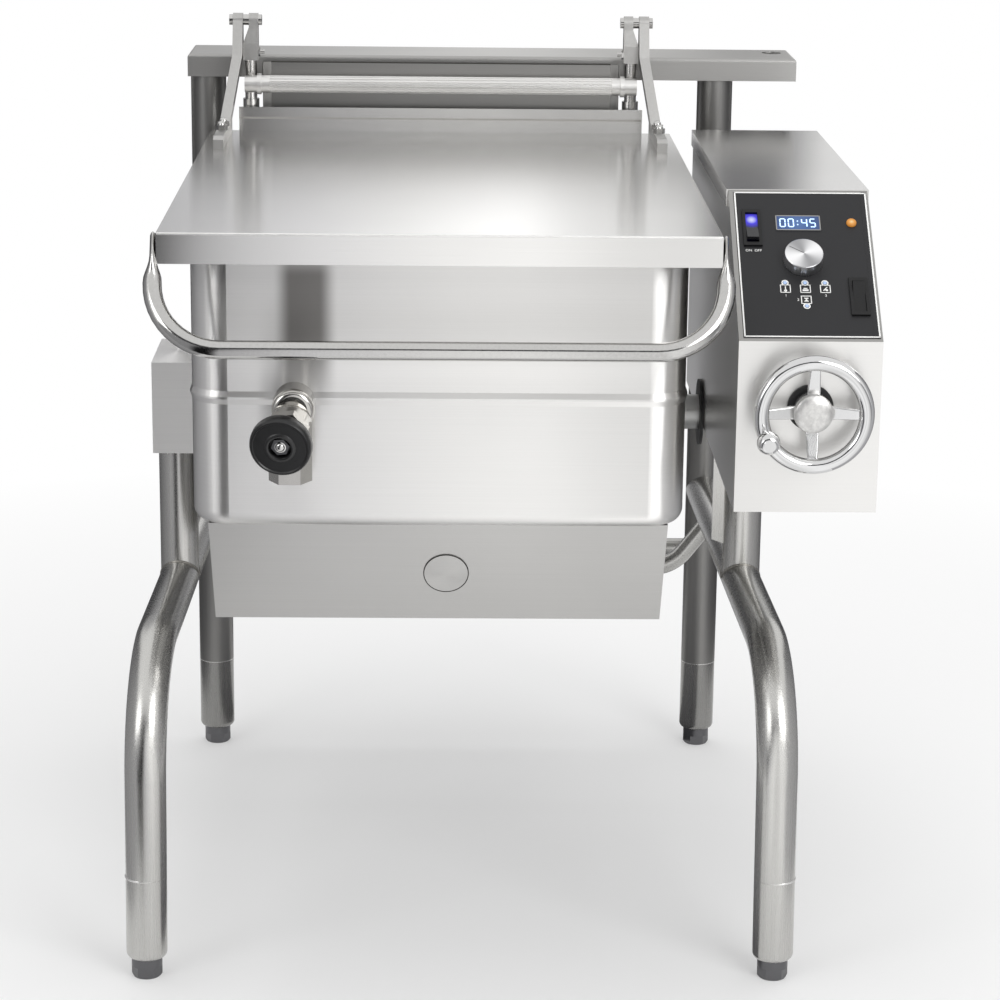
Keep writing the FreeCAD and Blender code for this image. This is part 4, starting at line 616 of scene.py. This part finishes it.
# Painted shadow: a dark strip along the panel's raw top edge stands for the shadow line there.
painted_edge_shadow = stainless("panel_edge_painted_shadow", "#52514F", 0.5, (200, 200, 200), 0.1)
edge_half_width = 0.0012
weld_seam("splash_panel_edge", [Vector((post_middle + side * (panel_reach - fold_width),
                                        web_back, panel_top)) for side in (-1, 1)],
          edge_half_width, painted_edge_shadow, closed=False, body="pan")


# Draw-off valve: a stainless casting, tumbled bright and welded through the jacket, with
# a steel stem. Tumbling leaves a soft orange peel that breaks up its reflections.
valve_casting = stainless("tumbled_casting", "#BCBAB6", 0.14, (90, 90, 90), 0.35)
dress(valve_casting, "valve_body")
dress(blackened, "valve_stem")


def turned_form(shape, outline, centre, axis, steps=64):
    ring = [shape.verts.new((radius, 0.0, height)) for radius, height in outline]
    edges = [shape.edges.new(pair) for pair in zip(ring, ring[1:])]
    if outline[0][0] > 0:
        edges.append(shape.edges.new((ring[-1], ring[0])))
    bmesh.ops.spin(shape, geom=ring + edges, cent=(0, 0, 0), axis=(0, 0, 1), angle=math.tau,
                   steps=steps, use_merge=True)
    bmesh.ops.remove_doubles(shape, verts=shape.verts, dist=1e-6)
    bmesh.ops.recalc_face_normals(shape, faces=shape.faces)
    bmesh.ops.transform(shape, verts=shape.verts, matrix=Matrix.Translation(centre)
                        @ axis.to_track_quat("Z", "X").to_matrix().to_4x4())


# Valve knob: a disc moulded in black phenolic, with a raised rim and a dished face. It
# sits on the stem's end, under a bright acorn nut in its recess.
stem_yaw = math.radians(8.1)
stem_pitch = math.radians(14.3)
stem_way = Vector((-math.sin(stem_yaw) * math.cos(stem_pitch),
                   -math.cos(stem_yaw) * math.cos(stem_pitch), -math.sin(stem_pitch)))
stem_foot = Vector((-0.2399, -0.46855, 0.7219))
knob_back = stem_foot + stem_way * 0.038
nut_top = stem_foot + stem_way * 0.0615
acorn = bmesh.new()
turned_form(acorn, [(0.0, 0.0), (0.0068, 0.0), (0.0068, 0.0008), (0.0055, 0.0012),
                    (0.0048, 0.0024), (0.0034, 0.0036), (0.0, 0.0041)], nut_top, stem_way, 32)
mesh_object("knob_acorn", acorn, bright_nut, "valve_handle", True)

# Phenolic: hard and black, with a sheen that hands have polished unevenly.
phenolic, tree = new_material("moulded_phenolic")
where = add(tree, "ShaderNodeTexCoord").outputs["Object"]
sheen = add(tree, "ShaderNodeTexNoise", {"Vector": where, "Scale": 120.0, "Detail": 4.0})
rough = add(tree, "ShaderNodeMapRange", {"Value": sheen.outputs[0], "To Min": 0.22,
                                         "To Max": 0.42})
shader = add(tree, "ShaderNodeBsdfPrincipled",
             {"Base Color": linear("#0E0E0F"), "Roughness": rough.outputs[0], "IOR": 1.55})
add(tree, "ShaderNodeOutputMaterial", {"Surface": shader.outputs[0]})
knob = bmesh.new()
turned_form(knob, [(0.0065, 0.0), (0.0130, 0.0), (0.0165, 0.0080), (0.0320, 0.0090),
                   (0.0352, 0.0110), (0.0365, 0.0150), (0.0365, 0.0215), (0.0356, 0.0256),
                   (0.0340, 0.0276), (0.0325, 0.0276), (0.0312, 0.0262), (0.0185, 0.0262),
                   (0.0172, 0.0274), (0.0152, 0.0280), (0.0136, 0.0274), (0.0127, 0.0255),
                   (0.0127, 0.0180), (0.0065, 0.0180)], knob_back, stem_way)
valve_wheel = mesh_object("valve_wheel", knob, phenolic, "valve_handle", True)
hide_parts("valve_knob")


# Console: a brushed sheet housing folded round the right bearing, with a screwed cover
# and a sloping control panel at its front.
# Its front is the palest sheet of the skillet, an even satin.
console_sheet = stainless("console_brushed_sheet", "#E0DFDD", 0.30, level_grain, 0.003, 0.5,
                          turned=0.25, wear=0.02, spread=0.006)
dress(console_sheet, "console_body")

# Panel frame: a grey satin edge round the film.
panel_frame = stainless("panel_frame_sheet", "#A3A2A0", 0.34, (4, 900, 900), 0.01)
dress(panel_frame, "control_panel")

# Cover: brushed from side to side and smoother, so it shows light and dark bands.
cover_sheet = stainless("cover_brushed_sheet", "#CAC9C7", 0.15, (6, 900, 900), 0.02, 0.4,
                        around="X")
dress(cover_sheet, "console_cover")

# Circuit board: green resin with fine lighter tracks, behind the panel.
board, tree = new_material("circuit_board")
where = add(tree, "ShaderNodeTexCoord").outputs["Object"]
traces = add(tree, "ShaderNodeTexVoronoi", {"Vector": where, "Scale": 180.0})
shade = add(tree, "ShaderNodeMix", {"Factor": traces.outputs["Distance"]}, data_type="RGBA")
shade.inputs[6].default_value = linear("#1F5A35")
shade.inputs[7].default_value = linear("#2F7A4A")
shader = add(tree, "ShaderNodeBsdfPrincipled", {"Base Color": shade.outputs[2],
                                                "Roughness": 0.4})
add(tree, "ShaderNodeOutputMaterial", {"Surface": shader.outputs[0]})
dress(board, "control_board")


# Lamps and switches: black nylon rockers snapped into bezels, one of them lit blue from
# inside, an amber lamp, four small lamps and a blue display. All sit in the panel.
# Nylon: black, dulled by a spark texture, which is drawn 1 mm coarse to show.
black_plastic, tree = new_material("black_nylon")
where = add(tree, "ShaderNodeTexCoord").outputs["Object"]
spark = add(tree, "ShaderNodeTexNoise", {"Vector": where, "Scale": 1100.0, "Detail": 1.0})
textured = add(tree, "ShaderNodeBump", {"Height": spark.outputs[0], "Strength": 0.1,
                                        "Distance": 0.0002})
shader = add(tree, "ShaderNodeBsdfPrincipled",
             {"Base Color": linear("#0F0F10"), "Roughness": 0.35, "Specular IOR Level": 0.35,
              "Normal": textured.outputs[0]})
add(tree, "ShaderNodeOutputMaterial", {"Surface": shader.outputs[0]})
dress(black_plastic, "rocker_bezels", "rocker_mode")

# Places on the panel are x across it and v up its slope, in metres.
label_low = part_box("panel_label")[0]
film_thickness = 0.0008
film_left = 0.322
panel_slope = math.atan2(0.148, 0.185)
panel_place = (
    Matrix.Translation((label_low.x - film_left,
                        label_low.y + film_thickness * math.sin(panel_slope), label_low.z))
    @ Matrix.Rotation(panel_slope, 4, "X")
    @ Matrix.Translation((0.0, -0.005, film_thickness))
)
lamp_depth = 0.003
display_x = 0.397
display_v = 0.182
dial_x = 0.399
dial_v = 0.122


# Lit lens or glass: brightest in the middle, and darker towards its edge.
def glowing(name, middle, core, edge, dark, core_radius, edge_radius, strength):
    material, tree = new_material(name)
    where = add(tree, "ShaderNodeTexCoord").outputs["Object"]
    reach = add(tree, "ShaderNodeVectorMath", {0: where, 1: middle}, operation="DISTANCE")
    spread = add(tree, "ShaderNodeMapRange", {"Value": reach.outputs["Value"],
                                              "From Min": core_radius, "From Max": edge_radius})
    ramp = add(tree, "ShaderNodeValToRGB", {"Fac": spread.outputs[0]})
    ramp.color_ramp.elements[0].color = linear(core)
    ramp.color_ramp.elements[1].color = linear(dark)
    ramp.color_ramp.elements.new(0.45).color = linear(edge)
    shader = add(tree, "ShaderNodeBsdfPrincipled",
                 {"Base Color": linear("#141416"), "Roughness": 0.25,
                  "Emission Color": ramp.outputs[0], "Emission Strength": strength})
    add(tree, "ShaderNodeOutputMaterial", {"Surface": shader.outputs[0]})
    return material


power_light = panel_place @ Vector((0.3415, 0.1735 + 0.013, lamp_depth))
lamp_middle = panel_place @ Vector((0.461, 0.1826, lamp_depth))
display_middle = panel_place @ Vector((display_x, display_v, 0.001))
lit_rocker = glowing("blue_lit_rocker", power_light, "#E6ECFF", "#3B2FE0", "#050507",
                     0.001, 0.014, 1.0)
dress(lit_rocker, "rocker_power")
amber_lens = glowing("amber_lens", lamp_middle, "#FFE2A6", "#F0A23C", "#A5671E",
                     0.0, 0.0075, 0.9)
dress(amber_lens, "pilot_lamp")
led_lens = glowing("led_lens", lamp_middle, "#FFFFFF", "#D9E6FF", "#BFD8FF", 0.0, 0.01, 0.9)
dress(led_lens, "indicator_leds")
display_glass = glowing("display_glass", display_middle, "#5F86C6", "#456BAC", "#2C4980",
                        0.0, 0.034, 0.7)
dress(display_glass, "display_window")


# Panel film: black polyester, printed white on its face and glued over the panel from
# edge to edge. The signs on it are simple line drawings, with plain numbers.
# Film: nearly black. Its texture is drawn 0.7 mm coarse, and keeps reflections soft.
film, tree = new_material("printed_film")
where = add(tree, "ShaderNodeTexCoord").outputs["Object"]
texture = add(tree, "ShaderNodeTexNoise", {"Vector": where, "Scale": 1500.0, "Detail": 1.0})
textured = add(tree, "ShaderNodeBump", {"Height": texture.outputs[0], "Strength": 0.08,
                                        "Distance": 0.0002})
shader = add(tree, "ShaderNodeBsdfPrincipled",
             {"Base Color": linear("#1D1D1F"), "Roughness": 0.48, "Specular IOR Level": 0.35,
              "Normal": textured.outputs[0]})
add(tree, "ShaderNodeOutputMaterial", {"Surface": shader.outputs[0]})
dress(film, "panel_label")

# Print: flat off-white ink.
print_ink, tree = new_material("print_ink")
shader = add(tree, "ShaderNodeBsdfPrincipled", {"Base Color": linear("#E4E4E2"),
                                                "Roughness": 0.5})
add(tree, "ShaderNodeOutputMaterial", {"Surface": shader.outputs[0]})


def bar(shape, x, v, width, length, lean=0.0):
    made = bmesh.ops.create_grid(shape, x_segments=1, y_segments=1, size=0.5)
    bmesh.ops.transform(shape, verts=made["verts"],
                        matrix=Matrix.Translation((x, v, 0)) @ Matrix.Rotation(lean, 4, "Z")
                        @ Matrix.Diagonal((width, length, 1, 1)))


def ring(shape, x, v, outer, inner):
    rims = []
    for radius in (outer, inner):
        made = bmesh.ops.create_circle(shape, segments=32, radius=radius,
                                       matrix=Matrix.Translation((x, v, 0)))
        rims += ring_edges(made["verts"])
    bmesh.ops.bridge_loops(shape, edges=rims)


def line_frame(shape, x, v, width, length, line):
    for side in (-1, 1):
        bar(shape, x + side * (width - line) / 2, v, line, length)
        bar(shape, x, v + side * (length - line) / 2, width, line)


def words(shape, text, x, v, size):
    letters = bpy.data.curves.new("letters", "FONT")
    letters.body = text
    letters.size = size
    letters.align_x = "CENTER"
    letters.align_y = "CENTER"
    holder = bpy.data.objects.new("letters", letters)
    flat = bpy.data.meshes.new_from_object(holder)
    flat.transform(Matrix.Translation((x, v, 0)))
    shape.from_mesh(flat)
    bpy.data.objects.remove(holder)


ink_thickness = 0.00006
ink_lift = 0.00003


def on_film(name, shape, material, lift, body="frame", gauge=ink_thickness):
    bmesh.ops.recalc_face_normals(shape, faces=shape.faces)
    for face in shape.faces:
        if face.normal.z < 0:
            face.normal_flip()
    bmesh.ops.transform(shape, verts=shape.verts,
                        matrix=panel_place @ Matrix.Translation((0, 0, lift)))
    piece = mesh_object(name, shape, material, body)
    skin = piece.modifiers.new("ink_layer", "SOLIDIFY")
    skin.thickness = gauge
    skin.offset = 1.0


film_middle_v = 0.11875
margin_gauge = 0.00078
margin = bmesh.new()
bar(margin, 0.4783, film_middle_v, 0.0074, 0.2275)
on_film("film_margin", margin, film, -margin_gauge, gauge=margin_gauge)

# Each sign: a small ring for its lamp above a square, and line drawings in the square.
sign_x = (0.3755, dial_x, 0.4225)
lamp_v = 0.0885
square_v = 0.0795
letter_size = 0.0050
prints = bmesh.new()
for x, v, box_v in ((sign_x[0], lamp_v, square_v), (sign_x[1], lamp_v, square_v),
                    (sign_x[2], lamp_v, square_v), (dial_x, 0.053, 0.0625)):
    ring(prints, x, v, 0.0043, 0.0028)
    line_frame(prints, x, box_v, 0.0125, 0.0125, 0.0011)
for x, v, width, length, lean in (
        (sign_x[0], 0.0800, 0.0012, 0.0060, 0.0), (sign_x[1], 0.0772, 0.0070, 0.0026, 0.0),
        (sign_x[1], 0.0800, 0.0046, 0.0014, 0.0), (sign_x[2], square_v, 0.0012, 0.0072, -0.7),
        (dial_x, 0.0650, 0.0052, 0.0012, 0.0), (dial_x, 0.0605, 0.0052, 0.0012, 0.0),
        (dial_x, 0.0628, 0.0012, 0.0040, 0.5), (dial_x, 0.0628, 0.0012, 0.0040, -0.5)):
    bar(prints, x, v, width, length, lean)
ring(prints, sign_x[0], 0.0765, 0.0018, 0.0004)
ring(prints, 0.4240, 0.0775, 0.0016, 0.0004)
for text, x, v in (("ON  OFF", 0.3415, 0.1385), ("1", sign_x[0], 0.0690),
                   ("2", 0.3895, 0.0625), ("3", sign_x[2], 0.0690)):
    words(prints, text, x, v, letter_size)
line_frame(prints, 0.4023, film_middle_v, 0.1590, 0.2259, 0.0018)
on_film("panel_prints", prints, print_ink, ink_lift)


# Display figures: lit bars behind the blue glass, seven to a figure, showing a time.
# A thin satin rim holds the glass in the film.
# Lit bars: an even pale blue.
lit_ink, tree = new_material("lit_segments")
shader = add(tree, "ShaderNodeBsdfPrincipled",
             {"Base Color": linear("#9FC4F5"), "Roughness": 0.4,
              "Emission Color": linear("#D4E8FF"), "Emission Strength": 0.9})
add(tree, "ShaderNodeOutputMaterial", {"Surface": shader.outputs[0]})
segments_on = {"0": "abcdef", "4": "bcfg", "5": "acdfg"}
# Each bar: steps to the right and up from the figure's middle, and whether it lies level.
strokes = {"a": (0, 1, 1), "b": (1, 0.5, 0), "c": (1, -0.5, 0), "d": (0, -1, 1),
           "e": (-1, -0.5, 0), "f": (-1, 0.5, 0), "g": (0, 0, 1)}
figure_half_width = 0.0030
figure_half_height = 0.0062
stroke = 0.0015
level_length = 0.0052
upright_length = 0.0054
colon_step = 0.0028
colon_dot = 0.0016
glass_top = 0.00085
rim_lift = 0.0009
digits = bmesh.new()
for x, figure in ((0.3785, "0"), (0.3885, "0"), (0.4045, "4"), (0.4145, "5")):
    for part in segments_on[figure]:
        right, up, level = strokes[part]
        width, length = (level_length, stroke) if level else (stroke, upright_length)
        bar(digits, x + right * figure_half_width, display_v + up * figure_half_height,
            width, length)
for up in (-colon_step, colon_step):
    bar(digits, 0.3965, display_v + up, colon_dot, colon_dot)
on_film("display_digits", digits, lit_ink, glass_top)

display_rim = bmesh.new()
line_frame(display_rim, display_x, display_v, 0.0536, 0.0236, 0.0014)
on_film("display_rim", display_rim, panel_frame, rim_lift)


# Temperature dial: turned from aluminium bar, its edge cut into 48 ribs, pushed onto the
# control's spindle. A thin painted line on its face points to the setting.
# Spun face: two bright and two dark fans are painted on it, a painted highlight for the light
# that its turning rings mirror.
dial_painted_highlight, tree = new_material("spun_aluminium_painted_fans")
where = add(tree, "ShaderNodeTexCoord").outputs["Object"]
dial_middle = panel_place @ Vector((dial_x, dial_v, 0.0))
centred = add(tree, "ShaderNodeMapping", {"Vector": where, "Location": dial_middle,
                                          "Rotation": (panel_slope, 0.0, 0.0)},
              vector_type="TEXTURE")
sweep = add(tree, "ShaderNodeSeparateXYZ", {0: centred.outputs[0]})
bearing = add(tree, "ShaderNodeMath", {0: sweep.outputs["Y"], 1: sweep.outputs["X"]},
              operation="ARCTAN2")
painted_bright_fans = 2.0
painted_fan_turn = 0.7
doubled = add(tree, "ShaderNodeMath", {0: bearing.outputs[0], 1: painted_bright_fans, 2: painted_fan_turn},
              operation="MULTIPLY_ADD")
wave = add(tree, "ShaderNodeMath", {0: doubled.outputs[0]}, operation="SINE")
shade = add(tree, "ShaderNodeMapRange", {"Value": wave.outputs[0], "From Min": -1.0,
                                         "To Min": 0.0})
tone = add(tree, "ShaderNodeMix", {"Factor": shade.outputs[0]}, data_type="RGBA")
tone.inputs[6].default_value = linear("#A4A4A6")
tone.inputs[7].default_value = linear("#FCFCFD")
shader = add(tree, "ShaderNodeBsdfPrincipled",
             {"Base Color": tone.outputs[2], "Metallic": 1.0, "Roughness": 0.3})
add(tree, "ShaderNodeOutputMaterial", {"Surface": shader.outputs[0]})

ribs = 48
dial_radius = 0.0235
rib_valley = 0.975
dial_lift = 0.0004
# Height and radius of each ring, from the ribbed side over a rounded edge to the face.
dial_rings = ((0.0, dial_radius), (0.0122, dial_radius), (0.0140, 0.0226), (0.0146, 0.0218),
              (0.0146, 0.0030))
dial = bmesh.new()
last_loop = None
for height, radius in dial_rings:
    made = bmesh.ops.create_circle(dial, cap_ends=radius < 0.01, segments=2 * ribs,
                                   radius=radius,
                                   matrix=Matrix.Translation((0, 0, height)))["verts"]
    if radius == dial_radius:
        for corner in made[::2]:
            corner.co = Vector((corner.co.x * rib_valley, corner.co.y * rib_valley, height))
    loop = ring_edges(made)
    if last_loop:
        bmesh.ops.bridge_loops(dial, edges=last_loop + loop)
    last_loop = loop
bmesh.ops.recalc_face_normals(dial, faces=dial.faces)
bmesh.ops.transform(dial, verts=dial.verts,
                    matrix=panel_place @ Matrix.Translation((dial_x, dial_v, dial_lift)))
dial_cap = mesh_object("dial_cap", dial, dial_painted_highlight, "temperature_dial", True)
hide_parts("temp_knob")

# Pointer paint: dull dark grey.
pointer_paint, tree = new_material("pointer_paint")
shader = add(tree, "ShaderNodeBsdfPrincipled", {"Base Color": linear("#2A2A2B"),
                                                "Roughness": 0.5})
add(tree, "ShaderNodeOutputMaterial", {"Surface": shader.outputs[0]})
pointer_turn = math.radians(148)
pointer_middle = 0.0105
pointer_length = 0.0190
pointer_width = 0.0007
pointer_lift = 0.0151
pointer = bmesh.new()
bar(pointer, dial_x + pointer_middle * math.cos(pointer_turn),
    dial_v + pointer_middle * math.sin(pointer_turn), pointer_length, pointer_width,
    pointer_turn)
on_film("knob_pointer", pointer, pointer_paint, pointer_lift, "temperature_dial")


# Handwheel: a casting keyed to the worm shaft. Its rim is buffed and chromed, and its
# spokes are left rougher, so the rim mirrors sharply and the spokes glow softly.
shaft_low, shaft_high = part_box("worm_shaft")
shaft_x = (shaft_low.x + shaft_high.x) / 2
shaft_z = (shaft_low.z + shaft_high.z) / 2
spoke_end = 0.048
rim_start = 0.052
flatten_y = 1e6
chrome, tree = new_material("chromed_wheel")
where = add(tree, "ShaderNodeTexCoord").outputs["Object"]
centred = add(tree, "ShaderNodeMapping", {"Vector": where, "Location": (shaft_x, 0.0, shaft_z),
                                          "Scale": (1.0, flatten_y, 1.0)},
              vector_type="TEXTURE")
reach = add(tree, "ShaderNodeVectorMath", {0: centred.outputs[0]}, operation="LENGTH")
polish = add(tree, "ShaderNodeMapRange", {"Value": reach.outputs["Value"],
                                          "From Min": spoke_end, "From Max": rim_start,
                                          "To Min": 0.22, "To Max": 0.05})
peel = add(tree, "ShaderNodeTexNoise", {"Vector": where, "Scale": 240.0, "Detail": 2.0})
waved = add(tree, "ShaderNodeBump", {"Height": peel.outputs[0], "Strength": 0.06,
                                     "Distance": 0.0006})
shader = add(tree, "ShaderNodeBsdfPrincipled",
             {"Base Color": linear("#D8D8D8"), "Metallic": 1.0, "Roughness": polish.outputs[0],
              "Normal": waved.outputs[0]})
add(tree, "ShaderNodeOutputMaterial", {"Surface": shader.outputs[0]})
dress(chrome, "handwheel")

# Hub: the boss keeps the pitted, mottled skin of the sand mould.
cast_face = stainless("sand_cast_hub", "#D6D5D3", 0.36, (170, 170, 170), 0.9, wear=0.3)
towards_user = Vector((0.0, -1.0, 0.0))
hub_back = -0.4990
casting = bmesh.new()
turned_form(casting, [(0.0, 0.0), (0.0226, 0.0), (0.0230, 0.0040), (0.0218, 0.0085),
                      (0.0175, 0.0112), (0.0080, 0.0124), (0.0, 0.0126)],
            Vector((shaft_x, hub_back, shaft_z)), towards_user)
mesh_object("hub_face", casting, cast_face, "wheel_shaft", True)


# Crank knob: turned from steel bar to a ball on a waisted neck, and chromed. It spins on
# a stud in the handwheel's rim.
crank_low, crank_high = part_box("crank_knob")
crank_back = Vector(((crank_low.x + crank_high.x) / 2, crank_high.y,
                     (crank_low.z + crank_high.z) / 2))
ball = bmesh.new()
turned_form(ball, [(0.0049, 0.0), (0.0085, 0.0), (0.0090, 0.0020), (0.0068, 0.0040),
                   (0.0082, 0.0062), (0.0116, 0.0095), (0.0133, 0.0140), (0.0136, 0.0170),
                   (0.0129, 0.0218), (0.0106, 0.0262), (0.0080, 0.0285), (0.0049, 0.0290)],
            crank_back, towards_user, 48)
crank_ball = mesh_object("crank_ball", ball, chrome, "crank", True)
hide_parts("crank_knob")
